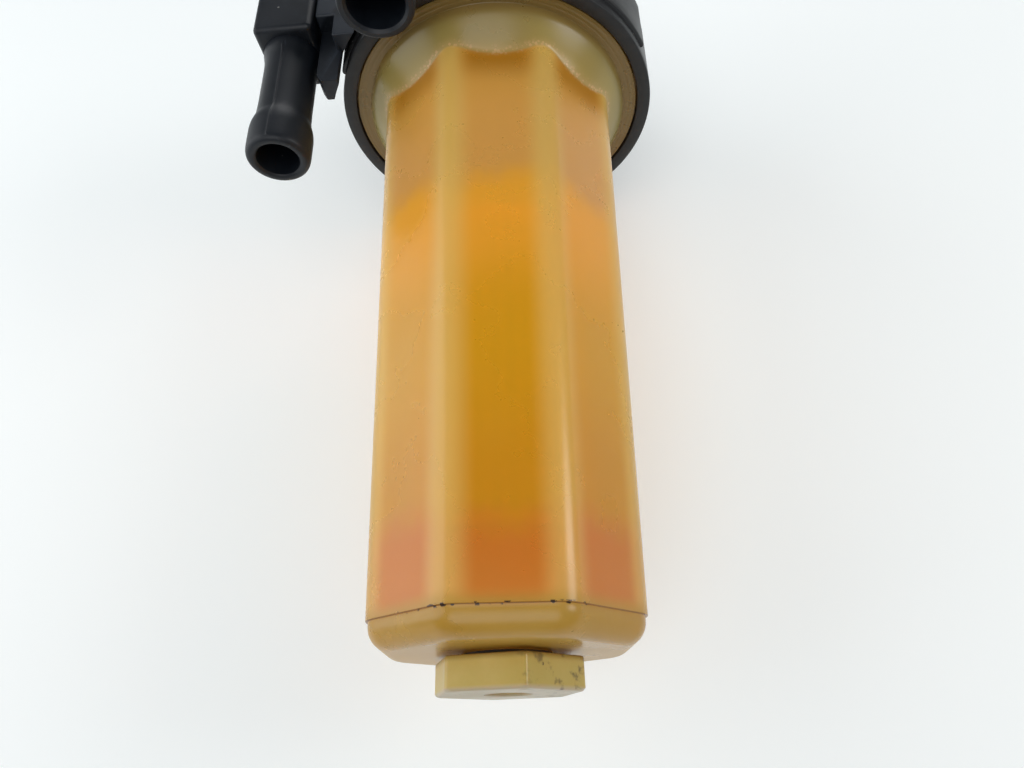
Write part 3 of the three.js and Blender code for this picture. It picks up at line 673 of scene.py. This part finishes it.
# ---- more shapes ----
def smooth_max(a, b, blend):
    near = max(blend - abs(a - b), 0) / blend
    return max(a, b) + near * near * blend / 4


def rising(value, low, high):
    t = min(max((value - low) / (high - low), 0), 1)
    return t * t * (3 - 2 * t)


def steps(start, end, count):
    return [start + (end - start) * i / count for i in range(count + 1)]


def curve_through(points, z):
    """Radius at height z on a smooth curve through (radius, z) points in rising order."""
    i = max(k for k in range(len(points) - 1) if k == 0 or points[k][1] <= z)
    (r0, z0), (r1, z1) = points[i], points[i + 1]

    def slope(k):
        above, below = points[min(k + 1, len(points) - 1)], points[max(k - 1, 0)]
        return (above[0] - below[0]) / (above[1] - below[1])

    span = z1 - z0
    t = min(max((z - z0) / span, 0), 1)
    return ((2 * t ** 3 - 3 * t ** 2 + 1) * r0 + (t ** 3 - 2 * t ** 2 + t) * span * slope(i)
            + (3 * t ** 2 - 2 * t ** 3) * r1 + (t ** 3 - t ** 2) * span * slope(i + 1))


def rod(name, radius, low, high, centre=(0, 0), edge=0.3, count=96):
    """An upright round bar with rounded ends."""
    profile = [(radius - edge, low), (radius, low), (radius, high), (radius - edge, high)]
    arc = rounded([(0, low)] + profile[1:3] + [(0, high)], edge, 4, False)[1:-1]
    return turned(name, arc, count, centre, False)


def tube(name, outer, inner, low, high, centre=(0, 0), edge=0.3, count=128):
    return turned(name, rounded([(outer, low), (outer, high), (inner, high), (inner, low)], edge), count,
                  centre)


def extruded(name, outline, low, high, radius):
    """An outline of (x, z) points carried along Y from low to high, with its edges rounded."""
    bm = bmesh.new()
    front = [bm.verts.new(at(x, low, z)) for x, z in outline]
    back = [bm.verts.new(at(x, high, z)) for x, z in outline]
    size = len(outline)
    bm.faces.new(front)
    bm.faces.new(back[::-1])
    for i in range(size):
        bm.faces.new((front[i], back[i], back[(i + 1) % size], front[(i + 1) % size]))
    bmesh.ops.recalc_face_normals(bm, faces=bm.faces)
    bmesh.ops.bevel(bm, geom=bm.edges[:], offset=radius * MM, segments=2, profile=0.5, affect="EDGES")
    return from_bmesh(name, bm)


def swung(mesh, angle):
    """The mesh turned about the bowl's axis."""
    mesh.transform(Matrix.Translation(AXIS) @ Matrix.Rotation(angle, 4, "Z") @ Matrix.Translation(-AXIS))
    return mesh


def even(obj):
    """Shading normals that keep big faces flat beside their rounded edges."""
    obj.modifiers.new("flat_faces", "WEIGHTED_NORMAL").keep_sharp = True
    return settle(obj)


# ---- bowl ----
WALL_HALF, TAPER, CORNER, WALL, BOWL_TURN = 25.1, 0.0185, 6, 2.4, 0.0925
SHOULDER = [(26.5, NUT_LOW - 10.3), (28.65, NUT_LOW - 7), (30.5, NUT_LOW - 4.6), (31.8, NUT_LOW - 2.8),
            (32.55, NUT_LOW - 1.5), (33, NUT_LOW + 0.5)]
INNER_SHOULDER = [(20.7, NUT_LOW - 13.8), (24.7, NUT_LOW - 9.3), (27.5, NUT_LOW - 5.3),
                  (29.5, NUT_LOW + 0.2)]


def octagon_radius(angle, half):
    return polygon_radius(angle - BOWL_TURN, half, CORNER * half / WALL_HALF)


def make_bowl():
    """A double-walled octagon with a rounded foot, a round scalloped shoulder and a flange."""
    rings, kinds = [], []

    def circle(radius, z):
        rings.append(lambda angle: (radius, z))
        kinds.append(0.0)

    def octagon(half, z):
        rings.append(lambda angle: (octagon_radius(angle, half), z))
        kinds.append(1.0)

    def wall(z, shoulder, inset):
        half = WALL_HALF + TAPER * (z - PARTING)

        def place(angle):
            flat = octagon_radius(angle, half) - inset
            if z > shoulder[0][1]:
                flat = smooth_max(flat, curve_through(shoulder, z), 0.4)
            return flat, z

        rings.append(place)
        kinds.append(z if inset == 0 else 1.0)

    for radius in (5.5, 8.1):
        circle(radius, FOOT + 1.5)
    for radius, z in ((8.5, FOOT + 1.4), (8.5, FOOT + 0.2), (8.7, FOOT), (12, FOOT), (16, FOOT)):
        circle(radius, z)
    curl = 4.2
    foot_half = WALL_HALF - 0.45
    for turn in steps(0, math.pi / 2, 10):
        octagon(foot_half - curl * (1 - math.sin(turn)), FOOT + curl * (1 - math.cos(turn)))
    for out, z in ((0, PARTING - 0.1), (0.05, PARTING), (0.38, PARTING), (0.45, PARTING + 0.08)):
        octagon(foot_half + out, z)
    scallop = NUT_LOW - 11.6
    outside = steps(PARTING + 1, scallop, 34) + steps(scallop + 0.11, NUT_LOW - 5.6, 54)
    for z in outside + steps(NUT_LOW - 5.3, NUT_LOW + 0.4, 18):
        wall(z, SHOULDER, 0)
    flange = NUT_LOW + 0.5
    for radius in (33.1, 33.5, 34):
        circle(radius, flange)
    for radius in (34.0, 35.1):
        for out, up in ((0.0, 0.0), (0.2, 0.05), (0.4, 0.05), (0.6, 0.0)):
            circle(radius + out, flange + up)
    for radius, z in ((36.1, flange), (36.2, flange + 0.1), (36.2, flange + 2.4), (36.3, flange + 2.5),
                      (RIM - 0.2, flange + 2.5), (RIM, flange + 2.7), (RIM, flange + 5.7),
                      (RIM - 0.2, flange + 5.9), (35, flange + 5.9), (34.9, flange + 5.8),
                      (34.9, flange + 4.1), (31.9, flange + 4.1), (31.9, flange + 5.8),
                      (31.8, flange + 5.9), (29.7, flange + 5.9), (29.5, flange + 5.7)):
        circle(radius, z)
    for z in steps(NUT_LOW + 0.1, NUT_LOW - 13.5, 26) + steps(NUT_LOW - 14.5, PARTING + 2.4, 20):
        wall(z, INNER_SHOULDER, WALL)
    for inset, z in ((0.3, 1.4), (0.9, 0.9), (2, 0.8)):
        octagon(WALL_HALF - WALL - inset, PARTING + z)
    boss = FOOT + 9.8
    for radius, z in ((12, PARTING + 0.8), (9, PARTING + 0.8), (8.6, PARTING + 1.2), (8.6, boss - 0.2),
                      (8.4, boss), (5.5, boss), (5.3, boss - 0.2), (5.3, FOOT + 1.6)):
        circle(radius, z)
    count = 384
    mesh = ring_surface("bowl_shell", rings, count, lambda ring, angle: ring(angle))
    wall_mask = mesh.attributes.new("wall", "FLOAT", "POINT")
    grit_mask = mesh.attributes.new("scallop", "FLOAT", "POINT")
    corner_mask = mesh.attributes.new("corner", "FLOAT", "POINT")
    for j, kind in enumerate(kinds):
        for i in range(count):
            on_wall, edge = min(kind, 1), 0.0
            if kind > 1:
                angle = 2 * math.pi * i / count
                half = WALL_HALF + TAPER * (kind - PARTING)
                proud = octagon_radius(angle, half) - (
                    curve_through(SHOULDER, kind) if kind > SHOULDER[0][1] else 0)
                on_wall, edge = rising(proud, -0.15, 0.25), math.exp(-((proud + 0.25) / 0.55) ** 2)
            wall_mask.data[j * count + i].value = on_wall
            grit_mask.data[j * count + i].value = edge
            off = abs((2 * math.pi * i / count - BOWL_TURN + math.pi / 8) % (math.pi / 4) - math.pi / 8)
            corner_mask.data[j * count + i].value = rising(WALL_HALF * math.tan(off), 4.5, 9.6)
    return fit(to_object("bowl_shell", mesh, amber, 38), "bowl", "bowl_amber", "bowl")


# ---- ring nut ----
PADS = [(a, 33) for a in (-51.5, 51.5, 180)] + [(a, 6) for a in (-160, -131, -102.5, 0, 102.5, 131, 160)]


def make_nut():
    """The ring nut with its raised grip pads and ribs."""
    outer = 39.9
    rise = (nut_high.x - nut_low.x) / 2 / MM - outer
    low, high = NUT_LOW + 3, NUT_HIGH - 0.6
    angles = set(steps(0, 360, 300)[:-1])
    for middle, width in PADS:
        for side in (-1, 1):
            edge = middle - 90 + side * width / 2
            angles.update((edge - side * off) % 360 for off in (-0.05, 0.12, 0.3, 0.5, 0.75, 1.1))
    angles = sorted(angles)

    def raised(angle, z):
        best = 0
        for middle, width in PADS:
            off = abs((angle - middle + 90 + 180) % 360 - 180)
            inside = min((width / 2 - off) * math.radians(outer), z - low, high - z)
            if inside > 0:
                soft = math.sqrt(1 - (1 - min(inside / 0.7, 1)) ** 2)
                best = max(best, (rise - 0.6) * min(inside / 0.1, 1) + 0.6 * soft)
        return best

    heights = [NUT_LOW + 0.4, NUT_LOW + 1.4, low - 0.02]
    heights += [low + d for d in (0.1, 0.25, 0.45, 0.7, 3, 7)]
    heights += [high - d for d in (4, 1.5, 0.7, 0.45, 0.25, 0.1, -0.02)]
    profile = [(36.6, NUT_LOW + 0.25), (36.68, NUT_LOW + 0.07), (36.85, NUT_LOW), (outer - 0.4, NUT_LOW),
               (outer - 0.12, NUT_LOW + 0.12)]
    profile += [(None, z) for z in heights]
    profile += [(outer - 0.15, NUT_HIGH - 0.15), (outer - 0.5, NUT_HIGH), (38.2, NUT_HIGH),
                (38, NUT_HIGH - 0.2), (38, NUT_LOW + 1.9), (37.8, NUT_LOW + 1.8), (36.7, NUT_LOW + 1.8),
                (36.6, NUT_LOW + 1.7)]
    count = len(angles)
    points = []
    for radius, z in profile:
        for angle in angles:
            r = outer + raised(angle, z) if radius is None else radius
            points.append(at(r * math.cos(math.radians(angle)), r * math.sin(math.radians(angle)), z))
    faces = []
    for j in range(len(profile)):
        a, b = j * count, (j + 1) % len(profile) * count
        faces += [(a + i, a + (i + 1) % count, b + (i + 1) % count, b + i) for i in range(count)]
    obj = to_object("grip_ring_nut", new_mesh("grip_ring_nut", points, faces), nut_black, 34)
    return fit(obj, "ring_nut", "nut_black", "ring_nut")


# ---- head ----
SHELF, ROOF = NUT_HIGH + 0.5, NUT_HIGH + 8.2
PORT = (-20.3, -45.7)
PORT_TURN = -1.9888
BARB = (-48.6, -20.2)
BLEED = (11, -14)
BOLTS = (-15, 15)
SPIGOT, SCREW = (BARB[1], 166), (BARB[1], 176.2)
WEB_LOW, WEB_TOP = 133.3, 152


def make_head():
    """The head: dome, outlet port on its bridge, inlet arm, bosses and passages, in one moulding."""
    dome = turned("dome", rounded([
        (31, ROOF), (31, NUT_LOW + 7.6), (RIM, NUT_LOW + 7.6), (RIM, SHELF), (39.6, SHELF),
        (39.6, ROOF - 1.5), (38.4, ROOF + 2.5), (35, ROOF + 5.8), (29, ROOF + 8), (4, ROOF + 8.8),
        (4, ROOF)], 0.5), 160)
    dome = solidify_normals(dome)
    core = rod("crown", 6, ROOF - 0.05, ROOF + 8.75, edge=0.01)
    bridge = swung(bevelled_box("bridge", (29, -5.5, SHELF + 0.2), (50, 5.5, SHELF + 15.2), 0.8), PORT_TURN)
    arm = bevelled_box("arm", (-41.1, -28, NUT_LOW + 8.2), (-24, -11.4, ROOF + 13), 0.6)
    face = bevelled_box("face", (-36.4, -28, NUT_LOW + 1.2), (-24, -20, NUT_LOW + 10.2), 0.4)
    web = extruded("web", [(-39.6, WEB_LOW), (-35.6, WEB_LOW), (-34.6, WEB_TOP), (-40.8, WEB_TOP),
                           (-40.8, WEB_LOW + 2.2)],
                   -23.5, -17.5, 0.35)
    rooms = cut(rod("nut_room", 41.8, NUT_LOW - 30, SHELF, edge=0.01),
                rod("rim_room", 38.6, SHELF - 1, ROOF, edge=0.01))
    side = combine(arm, add(face, web) + rooms)
    port_low, port_high = NUT_LOW - 14.4, ROOF + 7.6
    passage = ROOF + 4.2
    work = add(core, rod("stem_boss", 11, ROOF - 10, ROOF + 2),
               rod("port", 8.05, port_low, port_high, PORT, 0.7), bridge, side,
               rod("bleed_boss", 7, ROOF + 4, ROOF + 13, BLEED, 0.6))
    work += add(*[rod("bolt_boss", 7.5, ROOF + 2, ROOF + 12, (x, 13), 0.6) for x in BOLTS])
    lead_in = [(6.9, port_low - 1), (6.9, port_low - 0.2), (6.1, port_low + 0.6)]
    work += cut(rod("port_bore", 6.1, port_low - 1, passage + 1, PORT, 0.01),
                turned("port_mouth", lead_in, 96, PORT, False),
                bar("passage", (*PORT, passage), (0, 0, passage), 3.2),
                rod("stem_bore", 4, ROOF - 11, passage, edge=0.01),
                rod("stem_seat", 8.8, ROOF - 11, ROOF - 0.7, edge=0.01),
                bar("spigot_seat", (-42.1, *SPIGOT), (-33.1, *SPIGOT), 6.5),
                bar("inlet_way", (-41.1, *SPIGOT), (-20, *SPIGOT), 2.9),
                bar("screw_hole", (-42.1, *SCREW), (-32.1, *SCREW), 2.2),
                rod("bleed_bore", 3.3, ROOF - 1, ROOF + 14, BLEED, 0.01))
    work += cut(*[rod("bolt_bore", 3.3, ROOF + 3.5, ROOF + 13, (x, 13), 0.01) for x in BOLTS])
    obj = to_object("moulded_head", solidify_normals(combine(dome, work)), black, 32)
    return fit(even(obj), "head", "head_black", "filter_head")


def make_elbow():
    """The inlet elbow: a block with a hose barb that carries the mould's seam."""
    mouth, root = NUT_LOW - 29.3, NUT_LOW + 3.7
    profile = [(4.9, mouth + 0.5), (5.4, mouth), (6.4, mouth), (7.05, mouth + 0.6), (7.25, mouth + 1.4),
               (7.3, mouth + 2.4), (7.3, mouth + 7.2), (7.15, mouth + 8.6), (6.8, mouth + 9.9),
               (6.45, mouth + 11), (6.3, mouth + 12.4), (6.2, mouth + 16), (6.2, root - 6),
               (6.35, root - 3.4), (6.9, root - 0.8), (6.9, root + 2)]
    smooth = rounded(profile, 1.5, 3, False)

    def seamed(p, angle):
        r, z = p
        if mouth + 1 < z < root - 2:
            sides = (math.pi * 1.5, math.pi * 0.5)
            r += 0.13 * max(math.exp(-((angle - side) / 0.03) ** 2) for side in sides)
        return r, z

    barb = ring_surface("barb", smooth, 240, seamed, BARB, False)
    half_x, half_y = 7.2, 8.8
    top = ROOF + 13
    block = bevelled_box("block", (BARB[0] - half_x, BARB[1] - half_y, root),
                         (-41.4, BARB[1] + half_y, top), 1.3, 4)
    work = add(barb, bar("spigot", (BARB[0], *SPIGOT), (-34.4, *SPIGOT), 6.2, 96))
    work += cut(rod("bore", 4.9, mouth - 1, SPIGOT[1] + 2, BARB, 0.01),
                bar("cross_bore", (BARB[0], *SPIGOT), (-33, *SPIGOT), 3.4),
                bar("screw_way", (BARB[0] - 9, *SCREW), (-40, *SCREW), 2.2),
                bar("screw_sink", (BARB[0] - 9, *SCREW), (BARB[0] + 3, *SCREW), 4),
                solid_ring("seal_groove", -37.8, 1.2, 7.2, 4.2, SPIGOT[1]))
    obj = solidify_normals(combine(block, work))
    return fit(even(to_object("hose_elbow", obj, black, 32)), "head", "head_black", "inlet_elbow")


def solid_ring(name, x, half_width, outer, inner, z):
    """A ring about an axis along X through the barb's middle, for cutting the spigot's groove."""
    ring = tube(name, outer, inner, -half_width, half_width, edge=0.01)
    turn = Matrix.Rotation(math.pi / 2, 4, "Y")
    ring.transform(Matrix.Translation(at(x, BARB[1], z)) @ turn @ Matrix.Translation(-AXIS))
    return ring


# ---- drain plug ----
def make_plug():
    """The hexagon-headed drain plug with a recess in its underside."""
    half, hexagon_top, turn = 12.5, 5.9, 0.299
    corner_reach = half / math.cos(math.pi / 6)

    def place(p, angle):
        kind, r, z = p
        if kind == "round":
            return r, z
        edge = polygon_radius(angle - turn, half - r, 0.9, 6)
        low_chamfer = corner_reach - 0.95 + max(z, 0) * 1.6
        return min(edge, low_chamfer), z

    rings = [("round", 4.25, 3), ("round", 4.25, 0.3), ("round", 4.5, 0), ("round", 8, 0)]
    rings += [("hex", 0.55, 0), ("hex", 0.28, 0.06), ("hex", 0.1, 0.22), ("hex", 0.0, 0.5)]
    rings += [("hex", 0, z) for z in (1, 1.6, 2.6, 4, 5, hexagon_top - 0.4)]
    rings += [("hex", 0.08, hexagon_top - 0.15), ("hex", 0.3, hexagon_top), ("round", 8, hexagon_top),
              ("round", 5.2, hexagon_top)]
    rings += [("round", 5, hexagon_top + 0.2), ("round", 5, 17.6), ("round", 4.6, 18)]
    mesh = ring_surface("hex_drain_plug", rings, 360, place, closed=False)
    return fit(to_object("hex_drain_plug", mesh, plug_finish, 34), "drain_plug", "plug_nylon", "drain_plug")


# ---- what sits inside the bowl ----
def copies_round(name, piece, count, material):
    """A ring of copies of one mesh about the bowl's axis, as one plain mesh."""
    tree = bpy.data.node_groups.new(name, "GeometryNodeTree")
    tree.interface.new_socket("Piece", in_out="INPUT", socket_type="NodeSocketGeometry")
    number = tree.interface.new_socket("Count", in_out="INPUT", socket_type="NodeSocketInt")
    middle = tree.interface.new_socket("Middle", in_out="INPUT", socket_type="NodeSocketVector")
    finish = tree.interface.new_socket("Finish", in_out="INPUT", socket_type="NodeSocketMaterial")
    tree.interface.new_socket("Ring", in_out="OUTPUT", socket_type="NodeSocketGeometry")
    given, made = tree.nodes.new("NodeGroupInput"), tree.nodes.new("NodeGroupOutput")
    whole = tree.nodes.new("GeometryNodeGeometryToInstance")
    repeat = tree.nodes.new("GeometryNodeDuplicateElements")
    repeat.domain = "INSTANCE"
    spin = tree.nodes.new("GeometryNodeRotateInstances")
    spin.inputs["Local Space"].default_value = False
    angle = maths(tree, "DIVIDE", 2 * math.pi, given.outputs["Count"])
    step = times(tree, repeat.outputs["Duplicate Index"], angle)
    about = tree.nodes.new("ShaderNodeCombineXYZ")
    link(tree, step, about.inputs["Z"])
    real = tree.nodes.new("GeometryNodeRealizeInstances")
    coat = tree.nodes.new("GeometryNodeSetMaterial")
    link(tree, given.outputs["Piece"], whole.inputs[0])
    link(tree, whole.outputs[0], repeat.inputs["Geometry"])
    link(tree, given.outputs["Count"], repeat.inputs["Amount"])
    link(tree, repeat.outputs["Geometry"], spin.inputs["Instances"])
    link(tree, about.outputs[0], spin.inputs["Rotation"])
    link(tree, given.outputs["Middle"], spin.inputs["Pivot Point"])
    link(tree, spin.outputs[0], real.inputs[0])
    link(tree, real.outputs[0], coat.inputs["Geometry"])
    link(tree, given.outputs["Finish"], coat.inputs["Material"])
    link(tree, coat.outputs[0], made.inputs[0])
    obj = to_object(name, piece, material)
    modifier = obj.modifiers.new("copies", "NODES")
    modifier.node_group = tree
    modifier[number.identifier] = count
    modifier[middle.identifier] = tuple(AXIS)
    modifier[finish.identifier] = material
    return settle(obj)


def coil(name, radius, wire, low, high, turns, material):
    """A wound wire spring, as one plain mesh."""
    tree = bpy.data.node_groups.new(name, "GeometryNodeTree")
    sockets = {}
    for label in ("Radius", "Wire", "Height", "Turns"):
        sockets[label] = tree.interface.new_socket(label, in_out="INPUT", socket_type="NodeSocketFloat")
    sockets["Foot"] = tree.interface.new_socket("Foot", in_out="INPUT", socket_type="NodeSocketVector")
    sockets["Finish"] = tree.interface.new_socket("Finish", in_out="INPUT",
                                                  socket_type="NodeSocketMaterial")
    tree.interface.new_socket("Spring", in_out="OUTPUT", socket_type="NodeSocketGeometry")
    given, made = tree.nodes.new("NodeGroupInput"), tree.nodes.new("NodeGroupOutput")
    path = tree.nodes.new("GeometryNodeCurveSpiral")
    path.inputs["Resolution"].default_value = 48
    section = tree.nodes.new("GeometryNodeCurvePrimitiveCircle")
    section.inputs["Resolution"].default_value = 16
    sweep = tree.nodes.new("GeometryNodeCurveToMesh")
    sweep.inputs["Fill Caps"].default_value = True
    lift = tree.nodes.new("GeometryNodeTransform")
    real = tree.nodes.new("GeometryNodeRealizeInstances")
    coat = tree.nodes.new("GeometryNodeSetMaterial")
    link(tree, given.outputs["Radius"], path.inputs["Start Radius"])
    link(tree, given.outputs["Radius"], path.inputs["End Radius"])
    link(tree, given.outputs["Height"], path.inputs["Height"])
    link(tree, given.outputs["Turns"], path.inputs["Rotations"])
    link(tree, given.outputs["Wire"], section.inputs["Radius"])
    link(tree, path.outputs[0], sweep.inputs["Curve"])
    link(tree, section.outputs[0], sweep.inputs["Profile Curve"])
    link(tree, sweep.outputs[0], lift.inputs["Geometry"])
    link(tree, given.outputs["Foot"], lift.inputs["Translation"])
    link(tree, lift.outputs[0], real.inputs[0])
    link(tree, real.outputs[0], coat.inputs["Geometry"])
    link(tree, given.outputs["Finish"], coat.inputs["Material"])
    link(tree, coat.outputs[0], made.inputs[0])
    obj = to_object(name, new_mesh(name, [(0, 0, 0)], []), material)
    modifier = obj.modifiers.new("wound", "NODES")
    modifier.node_group = tree
    half = wire / 2
    values = {"Radius": radius * MM, "Wire": half * MM, "Height": (high - low - wire) * MM, "Turns": turns,
              "Foot": tuple(at(0, 0, low + half)), "Finish": material}
    for label, value in values.items():
        modifier[sockets[label].identifier] = value
    solidify_normals(settle(obj).data)
    obj.data.shade_smooth()
    return obj


def make_element():
    """The filter element: folded paper between two plastic caps, round a core."""
    low, high = 26, 96.8
    reach = (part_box("element_media")[1].x - AXIS.x) / MM
    outer, inner, cap = reach - 0.05, reach - 5.6, 2.6
    brim = (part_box("element_top_cap")[1].x - AXIS.x) / MM
    folds = 30
    half_step = math.pi / folds
    thick = 0.45
    fold = [(inner, -half_step), (outer, 0), (inner, half_step)]
    ring = []
    for side in (0, 1):
        line = []
        for k in range(13):
            t = k / 6
            r0, a0 = fold[0] if t <= 1 else fold[1]
            r1, a1 = fold[1] if t <= 1 else fold[2]
            f = t if t <= 1 else t - 1
            f = f + (0.08 * math.sin(2 * math.pi * f))
            r, a = r0 + (r1 - r0) * f, a0 + (a1 - a0) * f
            line.append((r - side * thick, a))
        ring.append(line)
    outline = ring[0] + ring[1][::-1]
    ends = (low + cap - 0.3, high - cap + 0.3)
    points = [at(r * math.cos(a), r * math.sin(a), z) for z in ends for r, a in outline]
    size = len(outline)
    faces = [(i, (i + 1) % size, size + (i + 1) % size, size + i) for i in range(size)]
    for k in range(12):
        faces.append((k, size - 1 - k, size - 2 - k, k + 1))
        faces.append((size + k, size + k + 1, 2 * size - 2 - k, 2 * size - 1 - k))
    piece = solidify_normals(new_mesh("fold", points, faces))
    pleats = copies_round("paper_pleats", piece, folds, paper)
    fit(pleats, "element", "element_paper", "element_media")
    top = turned("top_cap", rounded([(brim, high - cap), (brim, high), (10.4, high), (10.4, high + 3.9),
                                     (8.1, high + 3.9), (8.1, high - cap)], 0.35), 160)
    fit(to_object("top_cap", top, orange_plastic, 32), "element", "element_plastic", "element_top_cap")


def turned_copies():
    """The turned pieces again, as fine round meshes."""
    seal_z = over_plug(mid("bowl_seal").z)
    round_wire = steps(-math.pi, math.pi, 24)[:-1]
    wire = [(33.4 + 1.2 * math.cos(a), seal_z + 1.2 * math.sin(a)) for a in round_wire]
    fit(to_object("bowl_o_ring", turned("bowl_o_ring", wire, 160), rubber, 40), "head", "seal_rubber",
        "bowl_seal")
    fit(to_object("drain_gasket", tube("drain_gasket", 8.2, 5.3, 6.2, 8.0, edge=0.4), rubber, 35),
        "drain_carrier", "seal_rubber", "drain_seal")
    fit(to_object("slip_ring", tube("slip_ring", 37.7, 36.6, 143.9, 144.5, edge=0.12, count=200), steel,
                  35), "nut_carrier",
        "plated_steel", "slip_washer")
    float_low, float_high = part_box("float_ring")
    outer = (float_high.x - float_low.x) / 2 / MM
    low, high = over_plug(float_low.z), over_plug(float_high.z)
    fit(to_object("red_float", tube("red_float", outer, outer - 2.7, low, high, edge=0.9, count=160), red,
                  40), "float",
        "float_red", "float_ring")
    spring = coil("seat_spring", 11.25, 1.3, 12.9, 25.7, 3.25, steel)
    fit(spring, "bowl", "plated_steel", "element_spring")


def make_knob():
    """The bleed screw's fluted knob and stem."""
    low, high = ROOF + 15.1, ROOF + 24.1
    stem = over_plug(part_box("bleed_screw")[0].z)

    def place(p, angle):
        r, z, fluted = p
        flute = 0.5 - 0.5 * math.cos(8 * angle)
        return r - fluted * (1 - flute) ** 3 * 1.1, z

    rings = [(2.6, stem, 0), (3, stem + 0.4, 0), (3, low - 0.3, 0), (3.2, low, 0), (6.6, low, 0),
             (7.2, low + 0.15, 1), (7.5, low + 0.7, 1), (7.5, low + 3, 1), (7.5, high - 1.2, 1),
             (7.35, high - 0.5, 1), (6.9, high - 0.1, 1), (6.3, high, 0.5), (5.6, high, 0),
             (5.3, high - 0.3, 0), (1, high - 0.3, 0)]
    mesh = ring_surface("bleed_knob", rings, 240, place, BLEED, False)
    fit(to_object("bleed_knob", mesh, black, 40), "bleed_screw", "head_black", "bleed_screw")


def dress_the_rest():
    """Finer copies of the plain steel pieces, and finishes for the frame's own solids that stay."""
    for node, name, body, material, slot, edge in (
            ("mounting_bracket", "mount_bracket", "head", steel, "plated_steel", 0.25),
            ("bracket_bolt_left", "left_bolt", "head", steel, "plated_steel", 0.15),
            ("bracket_bolt_right", "right_bolt", "head", steel, "plated_steel", 0.15),
            ("elbow_screw", "cross_head_screw", "head", steel, "plated_steel", 0.1)):
        fit(refined(node, name, material, edge), body, slot, node)
    kept = {"standpipe": black, "standpipe_seal": rubber, "elbow_seal": rubber,
            "bracket_washer_left": steel, "bracket_washer_right": steel, "element_grommet": rubber,
            "element_core": orange_plastic, "element_bottom_cap": orange_plastic, "bleed_seal": rubber}
    for node, material in kept.items():
        for slot in nodes[node].material_slots:
            slot.material = material


make_camera()
make_stage()
make_bowl()
make_nut()
make_head()
make_elbow()
make_plug()
make_element()
turned_copies()
make_knob()
dress_the_rest()
